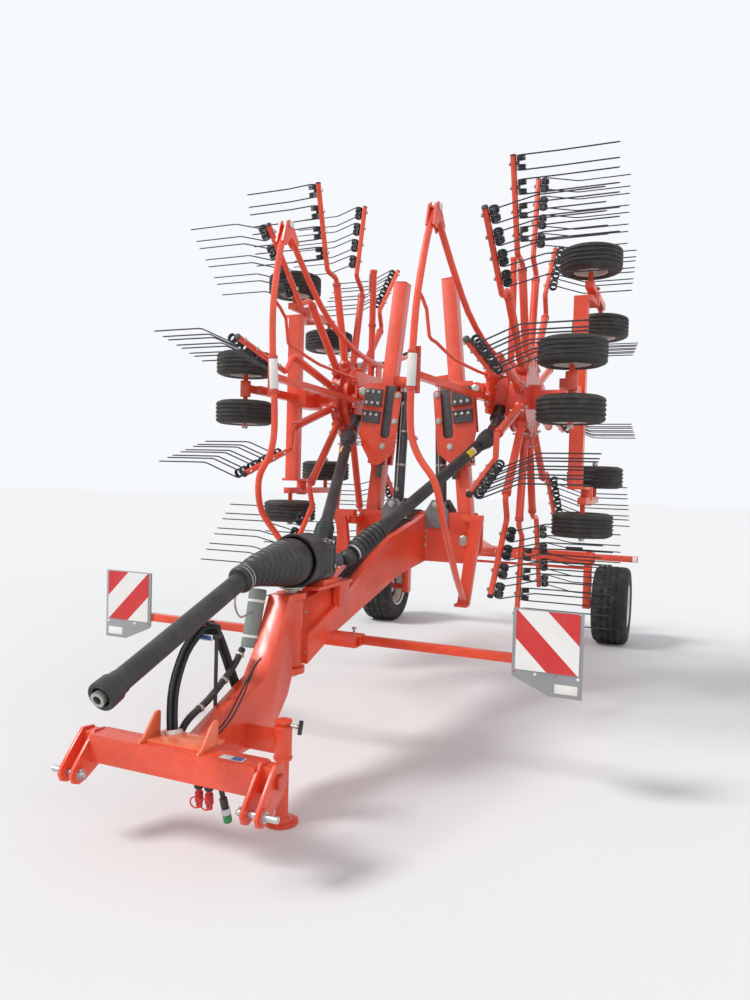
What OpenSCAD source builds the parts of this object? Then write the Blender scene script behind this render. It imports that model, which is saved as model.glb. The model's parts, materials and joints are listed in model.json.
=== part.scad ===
// Hay rake with two rotors, folded up for the road and parked on its stand.
// X is across the machine, Y runs to the rear and Z is up. The origin is on the ground,
// at the middle of the folded length and width. Left is the +X side.

/* [Running gear] */
// Distance of the transport axle behind the origin
axle_y = 2700; // [2650:5:2760]
// Distance between the middles of the transport tyres
track = 2480; // [2460:5:2520]
// Outer diameter of a transport tyre
tyre_d = 775; // [740:5:790]
// Width of a transport tyre
tyre_w = 340; // [300:5:350]
// Diameter of a transport rim
rim_d = 405; // [380:5:430]
// Diameter of a transport wheel's stub axle
stub_d = 60; // [50:1:70]
// Distance of a kingpin from the middle
kingpin_x = 1000; // [985:1:1010]
// Diameter of a kingpin
kingpin_d = 50; // [40:1:60]
// Height of the axle beam's underside
axle_z = 795; // [790:1:810]
// Height and depth of the axle beam
axle_h = 110; // [90:5:120]
// Length of a knuckle's steering lever
lever_l = 140; // [120:5:160]

/* [Frame] */
// Height of the hinges that the rotor arms fold on
hinge_z = 1160; // [1150:1:1170]
// Distance of a fold hinge from the middle
hinge_x = 400; // [390:1:410]
// Diameter of a fold hinge's pin
hinge_pin_d = 60; // [50:1:70]
// Width of the front beam
front_beam_w = 180; // [150:5:200]
// Width of the spine behind the cross frame
spine_w = 160; // [140:5:200]
// Thickness of the cross frame's two plates
cross_plate_t = 25; // [15:1:30]
// Height of the cross frame's top edge
cross_top_z = 1360; // [1350:1:1380]
// Height of the pins that the fold cylinders stand on
cylinder_foot_z = 1413; // [1400:1:1430]
// Distance of a fold cylinder's foot pin from the middle
cylinder_foot_x = 178; // [170:1:185]

/* [Hitch] */
// Distance of the steering pivot ahead of the origin
pivot_ahead = 1720; // [1700:5:1740]
// Diameter of the steering pivot's pin
pivot_pin_d = 60; // [50:1:66]
// Outer diameter of the frame's pivot tube
pivot_tube_d = 130; // [110:1:140]
// Distance of the crossbar ahead of the origin
crossbar_ahead = 2680; // [2660:5:2700]
// Height of the crossbar's middle
crossbar_z = 400; // [390:1:410]
// Length of the crossbar between its end plates
crossbar_l = 836; // [800:2:860]
// Height of the lower link pins
link_pin_z = 303; // [290:1:320]
// Diameter of a lower link pin
link_pin_d = 28; // [22:1:36]
// Length of a lower link pin's bare outer end
link_stub_l = 54; // [50:1:60]
// Gap between the two ears that hold a lower link pin
link_gap = 50; // [46:1:70]
// Thickness of a hitch ear
ear_t = 15; // [12:1:20]
// Width of the neck
neck_w = 120; // [100:5:140]

/* [Parking stand] */
// Distance of the parking stand from the middle
stand_x = 260; // [250:1:280]
// Diameter of the parking stand's leg
stand_d = 60; // [50:1:65]
// Height of the parking stand's leg
stand_h = 480; // [470:5:520]
// Diameter of the parking stand's foot
stand_foot_d = 160; // [120:5:200]

/* [Warning boards] */
// Distance of a board's middle from the middle of the machine
board_x = 1320; // [1300:5:1340]
// Height of a board's middle
board_z = 813; // [800:1:830]
// Width of a board
board_w = 315; // [280:5:330]
// Height of a board
board_h = 304; // [280:2:330]
// Width of the backing plate's rim beside a board
board_rim = 18; // [10:1:20]
// Height of the backing plate below a board
board_drop = 118; // [90:1:130]
// Side of the square tube that carries a board
board_tube = 45; // [35:1:50]

/* [Rotor arms] */
// Length of a lift beam from its hinge
beam_l = 1980; // [1950:5:2010]
// Width of a lift beam across the machine
beam_w = 100; // [90:2:110]
// Depth of a lift beam along the machine
beam_t = 120; // [110:2:130]
// Inward lean of a folded lift beam in degrees
lean = 6; // [5.5:0.1:6.5]
// Distance of the lift beams behind the origin
beam_y = 280; // [275:1:285]
// Height of the rotor head's pivot up a folded lift beam
carriage_s = 1112; // [1100:1:1120]
// Distance of the rotor head's pivot from the lift beam's middle
carriage_out = 170; // [165:1:175]
// Diameter of the rotor head's pivot pin
head_pin_d = 40; // [35:1:45]
// Running gap between a lift beam and its carriage
slide_gap = 5; // [4:0.5:7]
// Outer diameter of a fold cylinder's barrel
barrel_d = 85; // [70:1:90]
// Diameter of a fold cylinder's rod
rod_d = 45; // [35:1:55]

/* [Rotors] */
// Distance of the rotor middles behind the origin
rotor_y = 550; // [545:1:555]
// Height of the folded rotors' middles
rotor_z = 2260; // [2255:1:2265]
// Distance of the plane of the tine arms from the middle
arm_plane_x = 760; // [755:1:765]
// Number of tine arms on a rotor
arm_count = 12; // [10:1:13]
// Radius at which a tine arm ends
arm_r = 1704; // [1690:1:1705]
// Diameter of a tine arm
arm_d = 42; // [34:1:44]
// Sideways step in a tine arm
arm_step = 145; // [130:5:160]
// Diameter of a tine arm's sleeve beside the hub
arm_sleeve_d = 60; // [50:1:64]
// Angle of the first tine arm of the left rotor
arm_start_left = 20.5; // [15:0.5:25]
// Angle of the first tine arm of the right rotor
arm_start_right = 17.5; // [15:0.5:25]
// Number of double tines on an arm
tine_pairs = 4; // [3:1:4]
// Distance from one double tine to the next
tine_pitch = 152; // [148:1:154]
// Length of an arm beyond its last double tine
arm_tail = 51; // [48:1:60]
// Distance between the two tines of a pair
tine_gap = 94; // [84:1:98]
// Diameter of a tine's wire
tine_d = 9.5; // [8:0.5:11]
// Reach of a tine from its coil
tine_l = 630; // [600:5:634]
// Outer diameter of a tine's coil
coil_d = 64; // [56:1:68]
// Share of a tine's length up to its bend
knee_share = 0.38; // [0.3:0.01:0.45]
// Sideways travel of a tine up to its bend
knee_step = 95; // [80:1:105]
// Diameter of the rotor's fixed column
column_d = 110; // [100:1:120]
// Diameter of the rotor's drum
drum_d = 560; // [520:5:600]
// Diameter of the post on the rotor head
post_d = 54; // [48:1:56]

/* [Rotor wheels] */
// Outer diameter of a rotor wheel
wheel_d = 440; // [420:5:450]
// Width of a rotor wheel
wheel_w = 180; // [160:5:184]
// Distance of the rotor wheels' axles from the middle, folded
wheel_x = 1220; // [1215:1:1230]
// Diameter of a rotor wheel's axle
wheel_axle_d = 36; // [30:1:40]

/* [Guards] */
// Diameter of a rotor guard's tube
guard_d = 42; // [34:1:46]

/* [Drive] */
// Diameter of the front drive shaft's guard tube
pto_d = 90; // [80:1:100]
// Diameter of the bore in the front drive shaft's yoke
pto_bore_d = 35; // [30:1:38]
// Outer diameter of a rotor drive shaft's outer tube
shaft_d = 80; // [70:1:90]
// Outer diameter of a rotor drive shaft's inner tube
shaft_inner_d = 58; // [50:1:62]
// Diameter of the ball in a rotor drive shaft's joint
joint_ball_d = 100; // [90:1:110]

/* [Fits] */
// Radial clearance between a turning or sliding piece and what carries it
running_gap = 0.3; // [0.2:0.05:0.5]
// Gap between two pieces that lie against each other
seat_gap = 0.2; // [0.1:0.05:0.4]
// Clearance at the side of a turning piece
side_gap = 3; // [2:0.5:5]

/* [Hidden] */
$fn = 64;

orange = [0.80, 0.12, 0.03];
black = [0.05, 0.05, 0.06];
steel = [0.65, 0.66, 0.68];
grey = [0.40, 0.42, 0.44];

wheel_z = tyre_d / 2;
wheel_mid_x = track / 2;
pivot_y = -pivot_ahead;
crossbar_y = -crossbar_ahead;
link_pin_x = crossbar_l / 2 + ear_t + link_gap / 2;
link_pin_y = crossbar_y - 110;

// Frame: heights and stations along the machine
cross_y = beam_y - 100;
cross_front = [cross_y, cross_y + cross_plate_t];
cross_rear = [beam_y + 100 - cross_plate_t, beam_y + 100];
pivot_tube_z = [590, 950];
lug_t = 32;
lug_r = 80;
lug_gap = side_gap;

// Folded lift beam: local z runs up the beam and local x points outward
beam_dir = [-sin(lean), 0, cos(lean)];
beam_out = [cos(lean), 0, sin(lean)];
hinge = [hinge_x, beam_y, hinge_z];
head_pivot = hinge + carriage_s * beam_dir + carriage_out * beam_out;
eye_s = 1220;
eye_in = 130;
cylinder_foot = [cylinder_foot_x, beam_y, cylinder_foot_z];
cylinder_eye = hinge + eye_s * beam_dir - eye_in * beam_out;
cylinder_l = norm(cylinder_eye - cylinder_foot);
carriage_low = 560;
carriage_high = 1190;

// Rotor drive: middle of the joint at the central gearbox and at the rotor head
shaft_start = [100, -1230, 1135];
shaft_end = [580, 200, 1950];
shaft_dir = unit(shaft_end - shaft_start);
shaft_l = norm(shaft_end - shaft_start);
shaft_out_dir = unit([0.53, 0.73, 0.17]);
head_in_dir = unit([0, 0.745, 0.665]);

// Front drive shaft: front end of its guard and start of its boot
pto_front = [0, -3126, 779];
pto_rear = [0, -2135, 1136];
pto_dir = unit(pto_front - pto_rear);
boot_mid = [0, pivot_y, 1150];
boot_ball_d = 250;
boot_dir = unit(pto_rear - boot_mid);

// Places of the rotor wheels: distance up from the rotor's middle, and behind the origin
twin_u = 183;
twin_y = -330;
front_u = 955;
front_y = 400;
rear_u = 600;
rear_y = 1060;
rocker_u = 780;
cross_u = 676;

// Guard hoop of a folded left rotor, from the foot up over the top and back to the rotor head
guard_low = [[480, -75, 755], [524, -290, 836], [560, -519, 955], [590, -743, 1108], [606, -907, 1245],
    [616, -1040, 1372], [608, -1100, 1510], [576, -1128, 1620], [500, -1150, 1730], [456, -1176, 1860],
    [450, -1190, 2060], [462, -1206, 2398], [475, -1187, 2685], [490, -1100, 3010], [500, -1007, 3205]];
guard_back = [[500, -1030, 3212], [508, -802, 3043], [515, -600, 2899], [521, -323, 2741], [526, 64, 2620],
    [530, 438, 2568], [533, 748, 2568]];
guard_brace = [[472, -1170, 2690], [475, -1030, 2610], [480, -985, 2463], [485, -870, 2445], [497, -519, 2396],
    [515, 0, 2388], [532, 190, 2392]];

function unit(v) = v / norm(v);
function path_dir(p, i) = unit(p[min(i + 1, len(p) - 1)] - p[max(i - 1, 0)]);
function ring(c, dir, ref, r, sides) = let (a = unit(cross(ref, dir)), b = cross(dir, a))
    [for (k = [0:sides - 1]) c + r * (cos(360 * k / sides) * a + sin(360 * k / sides) * b)];
function curve(p, steps) = [for (i = [0:len(p) - 2], k = [0:steps - 1])
    let (t = k / steps, a = p[max(i - 1, 0)], b = p[i], c = p[i + 1], d = p[min(i + 2, len(p) - 1)])
    0.5 * (2 * b + (c - a) * t + (2 * a - 5 * b + 4 * c - d) * t * t + (3 * b - a - 3 * c + d) * t * t * t),
    p[len(p) - 1]];

// A round tube swept along points
module tube(p, d, ref = [1, 0, 0], sides = 10) {
    n = len(p);
    skin = [for (i = [0:n - 1]) each ring(p[i], path_dir(p, i), ref, d / 2, sides)];
    faces = concat([[for (k = [0:sides - 1]) k]],
        [for (i = [0:n - 2], k = [0:sides - 1]) let (q = (k + 1) % sides)
            [i * sides + q, i * sides + k, (i + 1) * sides + k, (i + 1) * sides + q]],
        [[for (k = [sides - 1:-1:0]) (n - 1) * sides + k]]);
    polyhedron(points = skin, faces = faces);
}

module slab(x, y, z) translate([x[0], y[0], z[0]]) cube([x[1] - x[0], y[1] - y[0], z[1] - z[0]]);

// An outline in Y and Z with a thickness along X
module side_plate(outline, x) translate([x[0], 0, 0]) rotate([90, 0, 90])
    linear_extrude(x[1] - x[0]) polygon(outline);

// An outline in X and Z with a thickness along Y
module front_plate(outline, y) translate([0, y[1], 0]) rotate([90, 0, 0])
    linear_extrude(y[1] - y[0]) polygon(outline);

module along_x(at, l, d) translate(at) rotate([0, 90, 0]) cylinder(h = l, d = d, center = true);
module along_y(at, l, d) translate(at) rotate([90, 0, 0]) cylinder(h = l, d = d, center = true);
module along_z(at, l, d) translate(at) cylinder(h = l, d = d, center = true);

// Turns the Z axis onto a direction and moves it to a place
module aim(at, dir) translate(at) rotate([0, acos(dir[2]), atan2(dir[1], dir[0])]) children();

module on_side(side) mirror([side < 0 ? 1 : 0, 0, 0]) children();

// Places children in the frame of the folded left lift beam
module on_beam() translate(hinge) rotate([0, -lean, 0]) children();

// Main frame
front_beam = [[-1690, 600], [-1340, 715], [-360, 935], [cross_front[1], 985],
    [cross_front[1], 1350], [20, 1304], [-560, 1200], [-1340, 870], [-1690, 760]];
spine = [[cross_rear[0], 985], [1500, 940], [axle_y - 60, 830], [axle_y + 60, 830], [axle_y + 60, 890],
    [2300, 950], [1500, 1130], [cross_rear[0], 1320]];
cross_outline = [[-490, 1060], [-420, 985], [420, 985], [490, 1060], [490, 1280], [440, cross_top_z],
    [-440, cross_top_z], [-490, 1280]];
post_outline = [[-1690, 640], [-1330, 760], [-1330, 985], [-1690, 940]];
gearbox_floor_z = 1030;
board_tube_z = 690;
board_lane = [-1368, -1432];
sleeve_l = 540;
sleeve_wall = 8;

module main_frame() color(orange) difference() {
    union() {
        along_z([0, pivot_y, (pivot_tube_z[0] + pivot_tube_z[1]) / 2], pivot_tube_z[1] - pivot_tube_z[0],
            pivot_tube_d);
        side_plate(post_outline, [-55, 55]);
        side_plate(front_beam, [-front_beam_w / 2, front_beam_w / 2]);
        slab([-110, 110], [-1620, -1180], [985, 1003]);
        for (side = [-1, 1]) slab([side * 85 - 22, side * 85 + 22], [-1345, -1215], [860, 985]);
        slab([-90, 90], [-1520, -1340], [1003, gearbox_floor_z]);
        front_plate(cross_outline, cross_front);
        front_plate(cross_outline, cross_rear);
        slab([-250, 250], [cross_front[1], cross_rear[0]], [985, cross_top_z - 15]);
        side_plate(spine, [-spine_w / 2, spine_w / 2]);
        slab([-kingpin_x, kingpin_x], [axle_y - axle_h / 2, axle_y + axle_h / 2], [axle_z, axle_z + axle_h]);
        for (side = [-1, 1]) {
            along_z([side * kingpin_x, axle_y, axle_z + axle_h / 2], axle_h, 120);
            on_side(side) slab([kingpin_x, 1475], [axle_y - 30, axle_y + 30], [axle_z + 35, axle_z + 95]);
            on_side(side) slab([560, 620], [axle_y, 3080], [axle_z + 35, axle_z + 75]);
        }
        slab([-900, 900], [3070, 3110], [axle_z + 30, axle_z + 80]);
        for (lane = board_lane) slab([-sleeve_l / 2, sleeve_l / 2],
            [lane - board_tube / 2 - sleeve_wall, lane + board_tube / 2 + sleeve_wall],
            [board_tube_z - board_tube / 2 - sleeve_wall, board_tube_z + board_tube / 2 + sleeve_wall]);
    }
    along_z([0, pivot_y, 770], 500, pivot_pin_d + 2 * running_gap);
    for (side = [-1, 1]) {
        along_y([side * hinge_x, beam_y, hinge_z], 400, hinge_pin_d + 2 * running_gap);
        along_z([side * kingpin_x, axle_y, axle_z + axle_h / 2], 300, kingpin_d + 2 * running_gap);
    }
    for (lane = board_lane) translate([0, lane, board_tube_z])
        cube([sleeve_l + 2, board_tube + 2 * running_gap, board_tube + 2 * running_gap], center = true);
}

// Arms, struts and feet that the folded guards stand on
rest_y = [-25, 25];
rest_foot_z = 725;
module guard_rests() color(orange) for (side = [-1, 1]) on_side(side) {
    slab([430, 585], [rest_y[0], rest_y[1]], [1310, 1360]);
    slab([430, 489], [rest_y[1] - 1, cross_front[0]], [1250, 1305]);
    slab([430, 489], [rest_y[1] - 1, rest_y[1] + 30], [1250, 1360]);
    front_plate([[500, 1360], [585, 1360], [502, rest_foot_z - 20], [417, rest_foot_z - 20]], rest_y);
    slab([421, 512], [guard_low[0][1] - 35, rest_y[0] + 1], [rest_foot_z - 20, rest_foot_z]);
}

// Grey brackets that the fold cylinders stand in
bracket_t = 15;
foot_pin_d = 36;
bracket_outline = [[90, cross_top_z - 120], [270, cross_top_z - 120], [270, cross_top_z + 10],
    [215, cylinder_foot_z + 40], [140, cylinder_foot_z + 40], [90, cross_top_z + 10]];
module cylinder_brackets() color(grey) for (side = [-1, 1]) on_side(side) difference() {
    union() {
        front_plate(bracket_outline, [cross_front[0] - bracket_t, cross_front[0]]);
        front_plate(bracket_outline, [cross_rear[1], cross_rear[1] + bracket_t]);
    }
    along_y(cylinder_foot, 400, foot_pin_d + 2 * seat_gap);
}

// Central gearbox with the two outputs to the rotors
module gearbox() color(black) {
    union() {
        slab([-80, 80], [-1515, -1345], [gearbox_floor_z, 1230]);
        along_y([0, -1470, 1150], 120, 200);
        for (side = [-1, 1]) on_side(side)
            aim(shaft_start - (joint_ball_d / 2 + 160) * shaft_out_dir, shaft_out_dir)
                cylinder(h = 160 - running_gap, d = 90);
    }
}

bell_d = boot_ball_d + 30;
module gearbox_guards() color(black) {
    along_y([0, (pivot_y + boot_ball_d / 2 + running_gap - 1535) / 2, boot_mid[2]],
        -1535 - pivot_y - boot_ball_d / 2 - running_gap, 60);
    difference() {
        along_y([0, (pivot_y + 25 - 1530) / 2, boot_mid[2]], -1530 - pivot_y - 25, bell_d);
        along_y([0, (pivot_y + 20 - 1545) / 2, boot_mid[2]], -1545 - pivot_y - 20 + 5, boot_ball_d + 16);
    }
}

module rear_lights() color([0.7, 0.05, 0.04]) for (side = [-1, 1]) on_side(side) {
    slab([700, 880], [3110, 3150], [axle_z - 10, axle_z + 120]);
    slab([1425, 1470], [axle_y - 60, axle_y - 30], [axle_z + 35, axle_z + 95]);
}

// Steering pin, fold hinge pins and the foot pins of the fold cylinders
module pivot_pins() color(steel) {
    along_z([0, pivot_y, 770], 450, pivot_pin_d);
    along_z([0, pivot_y, 770 + 225 + 4], 8, pivot_pin_d + 24);
    along_z([0, pivot_y, 770 - 225 - 4], 8, pivot_pin_d + 24);
    for (side = [-1, 1]) on_side(side) {
        along_y(hinge, 250, hinge_pin_d);
        for (e = [-1, 1]) along_y(hinge + [0, e * 129, 0], 8, hinge_pin_d + 20);
        along_y(cylinder_foot, 290, foot_pin_d);
    }
}

// Headstock: neck, crossbar, ears and the fork round the steering pin
neck = [[crossbar_y + 40, 345], [-2450, 300], [-2010, 300], [-1840, 470], [pivot_y - lug_r, 555],
    [pivot_y - lug_r, 985], [-1850, 985], [-1965, 760], [-2080, 610], [-2500, 455], [crossbar_y + 40, 460]];
ear = [[link_pin_y - 45, link_pin_z], [link_pin_y - 32, link_pin_z - 32], [link_pin_y, link_pin_z - 45],
    [link_pin_y + 40, link_pin_z - 35], [crossbar_y + 45, crossbar_z - 70], [crossbar_y + 65, crossbar_z],
    [crossbar_y + 45, crossbar_z + 62], [crossbar_y - 20, crossbar_z + 70], [crossbar_y - 60, crossbar_z + 30],
    [link_pin_y - 32, link_pin_z + 32]];
stand_y = -2230;
stand_tube_d = stand_d + 22;
module headstock() color(orange) difference() {
    union() {
        side_plate(neck, [-neck_w / 2, neck_w / 2]);
        slab([-crossbar_l / 2, crossbar_l / 2], [crossbar_y - 55, crossbar_y + 55], [crossbar_z - 60, crossbar_z + 60]);
        for (z = [pivot_tube_z[0] - lug_gap - lug_t, pivot_tube_z[1] + lug_gap]) {
            translate([0, pivot_y, z]) cylinder(h = lug_t, r = lug_r);
            slab([-neck_w / 2, neck_w / 2], [pivot_y - lug_r - 10, pivot_y - 40], [z, z + lug_t]);
        }
        for (side = [-1, 1], e = [-1, 1])
            side_plate(ear, [side * link_pin_x + e * (link_gap + ear_t) / 2 - ear_t / 2,
                side * link_pin_x + e * (link_gap + ear_t) / 2 + ear_t / 2]);
        for (side = [-1, 1]) on_side(side)
            slab([crossbar_l / 2 - 1, link_pin_x + link_gap / 2 + 1], [crossbar_y - 20, crossbar_y + 45],
                [crossbar_z - 55, crossbar_z + 55]);
        along_z([stand_x, stand_y, 375], 160, stand_tube_d);
        slab([neck_w / 2 - 1, stand_x - 20], [stand_y - 12, stand_y + 12], [320, 430]);
    }
    along_z([0, pivot_y, 770], 600, pivot_pin_d + 2 * running_gap);
    along_x([0, link_pin_y, link_pin_z], 3 * crossbar_l, link_pin_d + 2 * running_gap);
    along_z([stand_x, stand_y, 375], 200, stand_d + 2 * running_gap);
}

link_collar_x = [link_gap / 2 + ear_t + 1, link_gap / 2 + ear_t + 11];
module hitch_pins() color(steel) for (side = [-1, 1]) on_side(side) {
    along_x([link_pin_x + (link_collar_x[1] + link_stub_l - 65) / 2, link_pin_y, link_pin_z],
        link_collar_x[1] + link_stub_l + 65, link_pin_d);
    along_x([link_pin_x + (link_collar_x[0] + link_collar_x[1]) / 2, link_pin_y, link_pin_z],
        link_collar_x[1] - link_collar_x[0], link_pin_d + 18);
}

// Front drive shaft: boot ball, boot cone and guard tube
module pto_guard() color(black) difference() {
    union() {
        translate(boot_mid) sphere(d = boot_ball_d);
        aim(boot_mid + 30 * boot_dir, boot_dir)
            cylinder(h = norm(pto_rear - boot_mid) - 30, d1 = boot_ball_d - 8, d2 = 170);
        aim(pto_rear, -pto_dir) translate([0, 0, -norm(pto_front - pto_rear)])
            cylinder(h = norm(pto_front - pto_rear) + 40, d = pto_d);
    }
    aim(pto_front, -pto_dir) translate([0, 0, -1]) cylinder(h = 61, d = pto_yoke_d + 2 * seat_gap);
}
pto_yoke_d = 60;
module pto_yoke() color(steel) difference() {
    aim(pto_front, pto_dir) translate([0, 0, -60]) cylinder(h = 75, d = pto_yoke_d);
    aim(pto_front, pto_dir) translate([0, 0, -50]) cylinder(h = 80, d = pto_bore_d);
}

module hose_rack() color(black) {
    aim([-60 - seat_gap - 10, -2300, 500], [0, 0, 1]) cylinder(h = 330, d = 18);
    slab([-60 - seat_gap - 20, -60 - seat_gap], [-2312, -2288], [440, 505]);
    slab([-175, -55], [-2330, -2270], [830, 855]);
}
module hoses() color(black)
    tube(curve([[-73, -2080, 520], [-78, -2130, 610], [-95, -2205, 785], [-105, -2262, 873], [-112, -2302, 880],
        [-119, -2345, 873], [-128, -2440, 790], [-122, -2520, 650], [-95, -2565, 520],
        [-73, -2580, 430], [-73, -2585, 390]], 3), 24);
module document_tube() color([0.45, 0.47, 0.5]) aim([-neck_w / 2 - 45 - seat_gap, -1960, 720], unit([0, 0.25, 1]))
    cylinder(h = 300, d = 90);

module parking_stand() color(orange) {
    translate([stand_x, stand_y, 10]) cylinder(h = stand_h - 10, d = stand_d);
    translate([stand_x, stand_y, 0]) cylinder(h = 12, d = stand_foot_d);
    translate([stand_x, stand_y, stand_h - 12]) cylinder(h = 12, d = stand_d + 20);
}

// Warning boards on square tubes that slide in the frame's sleeves
board_face_y = -1475;
board_plate_t = 4;
module board_arm(lane) color(orange) {
    slab([-200, board_x + 20], [lane - board_tube / 2, lane + board_tube / 2],
        [board_tube_z - board_tube / 2, board_tube_z + board_tube / 2]);
    slab([board_x - 20, board_x + 20], [board_face_y + 2 * board_plate_t, lane], [board_tube_z - 22, board_tube_z + 22]);
    front_plate([[board_x - board_w / 2 - board_rim, board_z + board_h / 2 + 6],
        [board_x - board_w / 2 - board_rim, board_z - board_h / 2 - 35], [board_x + 14, board_z - board_h / 2 - board_drop],
        [board_x + board_w / 2 + board_rim, board_z - board_h / 2 - board_drop],
        [board_x + board_w / 2 + board_rim, board_z + board_h / 2 + 6]],
        [board_face_y + board_plate_t, board_face_y + 2 * board_plate_t]);
}
module board() color("white")
    slab([board_x - board_w / 2, board_x + board_w / 2], [board_face_y, board_face_y + board_plate_t],
        [board_z - board_h / 2, board_z + board_h / 2]);

// Lift beam with its hinge boss and the lugs for the fold cylinder
lug_plate_t = 12;
eye_w = 40;
lug_slot = eye_w + 2 * (side_gap + lug_plate_t + 4 + slide_gap);
module lift_arm() color(orange) on_beam() difference() {
    union() {
        slab([-beam_w / 2, beam_w / 2], [-beam_t / 2, beam_t / 2], [0, beam_l]);
        rotate([90, 0, 0]) cylinder(h = 2 * (100 - cross_plate_t - side_gap), d = 130, center = true);
        for (e = [-1, 1]) translate([0, e * (eye_w / 2 + side_gap + lug_plate_t / 2), 0]) {
            slab([-eye_in - 35, 1 - beam_w / 2], [-lug_plate_t / 2, lug_plate_t / 2], [eye_s - 40, eye_s + 40]);
            translate([-eye_in, e * 4, eye_s]) rotate([90, 0, 0]) cylinder(h = lug_plate_t, d = 50, center = true);
        }
    }
    rotate([90, 0, 0]) cylinder(h = 300, d = hinge_pin_d + 2 * running_gap, center = true);
}

cylinder_dir = unit(cylinder_eye - cylinder_foot);
barrel_l = cylinder_l - 75;
module lift_barrel() color(grey) difference() {
    union() {
        along_y(cylinder_foot, 2 * (100 + bracket_t - side_gap - bracket_t), 70);
        aim(cylinder_foot + 25 * cylinder_dir, cylinder_dir) cylinder(h = barrel_l - 25, d = barrel_d);
    }
    along_y(cylinder_foot, 400, foot_pin_d + 2 * running_gap);
    aim(cylinder_foot + 80 * cylinder_dir, cylinder_dir) cylinder(h = barrel_l, d = rod_d + 2 * running_gap);
}
module lift_rod() color(steel) union() {
    aim(cylinder_foot + 90 * cylinder_dir, cylinder_dir) cylinder(h = cylinder_l - 90, d = rod_d);
    along_y(cylinder_eye, eye_w, 66);
}

// Carriage that slides up and down the lift beam and holds the rotor head
saddle_t = 20;
fork_y = [-beam_t / 2 - 70, -beam_t / 2 - 55];
fork_slot = [-beam_w / 2 - 50, -20];
fork_out = beam_w / 2 + 105;
fork_outline = [[fork_slot[0] - 55, carriage_low + 105], [-45, carriage_low], [-20, carriage_low - 12],
    [30, carriage_low], [fork_out - 30, carriage_low + 130], [fork_out, carriage_low + 240],
    [fork_out, carriage_high - 15], [fork_slot[1] + 12, carriage_high], [fork_slot[1], carriage_high - 12],
    [fork_slot[1], carriage_low + 235], [fork_slot[1] - 15, carriage_low + 210],
    [fork_slot[0] + 15, carriage_low + 210], [fork_slot[0], carriage_low + 235],
    [fork_slot[0], carriage_high - 72], [fork_slot[0] - 14, carriage_high - 55],
    [fork_slot[0] - 41, carriage_high - 55], [fork_slot[0] - 55, carriage_high - 72]];
module carriage() color(orange) {
    on_beam() {
        difference() {
            slab([-beam_w / 2 - slide_gap - saddle_t, beam_w / 2 + slide_gap + saddle_t],
                [-beam_t / 2 - slide_gap - saddle_t, beam_t / 2 + slide_gap + saddle_t], [carriage_low, carriage_high]);
            slab([-beam_w / 2 - slide_gap, beam_w / 2 + slide_gap],
                [-beam_t / 2 - slide_gap, beam_t / 2 + slide_gap], [carriage_low - 1, carriage_high + 1]);
            slab([-beam_w / 2 - slide_gap - saddle_t - 1, 0], [-lug_slot / 2, lug_slot / 2],
                [carriage_low - 1, carriage_high + 1]);
        }
        for (e = [-1, 1]) translate([0, e * (beam_t / 2 + slide_gap + saddle_t / 2), 0]) {
            translate([carriage_out, 0, carriage_s]) rotate([90, 0, 0]) cylinder(h = saddle_t, d = 110, center = true);
            slab([beam_w / 2, carriage_out], [-saddle_t / 2, saddle_t / 2], [carriage_s - 55, carriage_s + 55]);
            slab([beam_w / 2, carriage_out - 50], [-saddle_t / 2, saddle_t / 2], [carriage_s - 300, carriage_s]);
        }
        front_plate(fork_outline, fork_y);
        slab([-10, beam_w / 2 + 20], [fork_y[1] - 1, -beam_t / 2 - slide_gap - 1], [carriage_low + 40, carriage_high - 60]);
    }
    along_y(head_pivot, beam_t + 2 * slide_gap + 2 * saddle_t + 30, head_pin_d);
}

// Rotor head: pivot lugs, mounting plate, gearbox and the column that the rotor turns on
head_lug_t = 25;
head_plate_x = [520, 545];
head_plate_y = [200, 720];
head_plate_z = [2110, 2450];
drum_x = [650, 880];
column_x = [545, 1100];
post = [600, 640];
post_z = [2350, 3350];
module rotor_head() color(orange) difference() {
    union() {
        for (e = [-1, 1]) {
            along_y([head_pivot[0], beam_y + e * (beam_t / 2 + slide_gap - side_gap - head_lug_t / 2), head_pivot[2]],
                head_lug_t, 100);
            slab([head_pivot[0], head_plate_x[0] + 1],
                [beam_y + e * (beam_t / 2 + slide_gap - side_gap - head_lug_t / 2) - head_lug_t / 2,
                 beam_y + e * (beam_t / 2 + slide_gap - side_gap - head_lug_t / 2) + head_lug_t / 2],
                [head_pivot[2] - 50, head_pivot[2] + 50]);
        }
        slab(head_plate_x, head_plate_y, head_plate_z);
        along_x([(column_x[0] + drum_x[0]) / 2 - 2, rotor_y, rotor_z], drum_x[0] - column_x[0] - 4, 300);
        along_x([(column_x[0] + column_x[1]) / 2, rotor_y, rotor_z], column_x[1] - column_x[0], column_d);
        aim(shaft_end + (joint_ball_d / 2 + running_gap) * head_in_dir, head_in_dir) cylinder(h = 310, d = 80);
        along_z([post[0], post[1], (post_z[0] + post_z[1]) / 2], post_z[1] - post_z[0], post_d);
        along_z([post[0], post[1], post_z[1]], 14, post_d + 10);
        slab([head_plate_x[1] - 1, post[0]], [post[1] - 20, post[1] + 20], [2380, 2440]);
    }
    along_y(head_pivot, 400, head_pin_d + 2 * running_gap);
}

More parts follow.
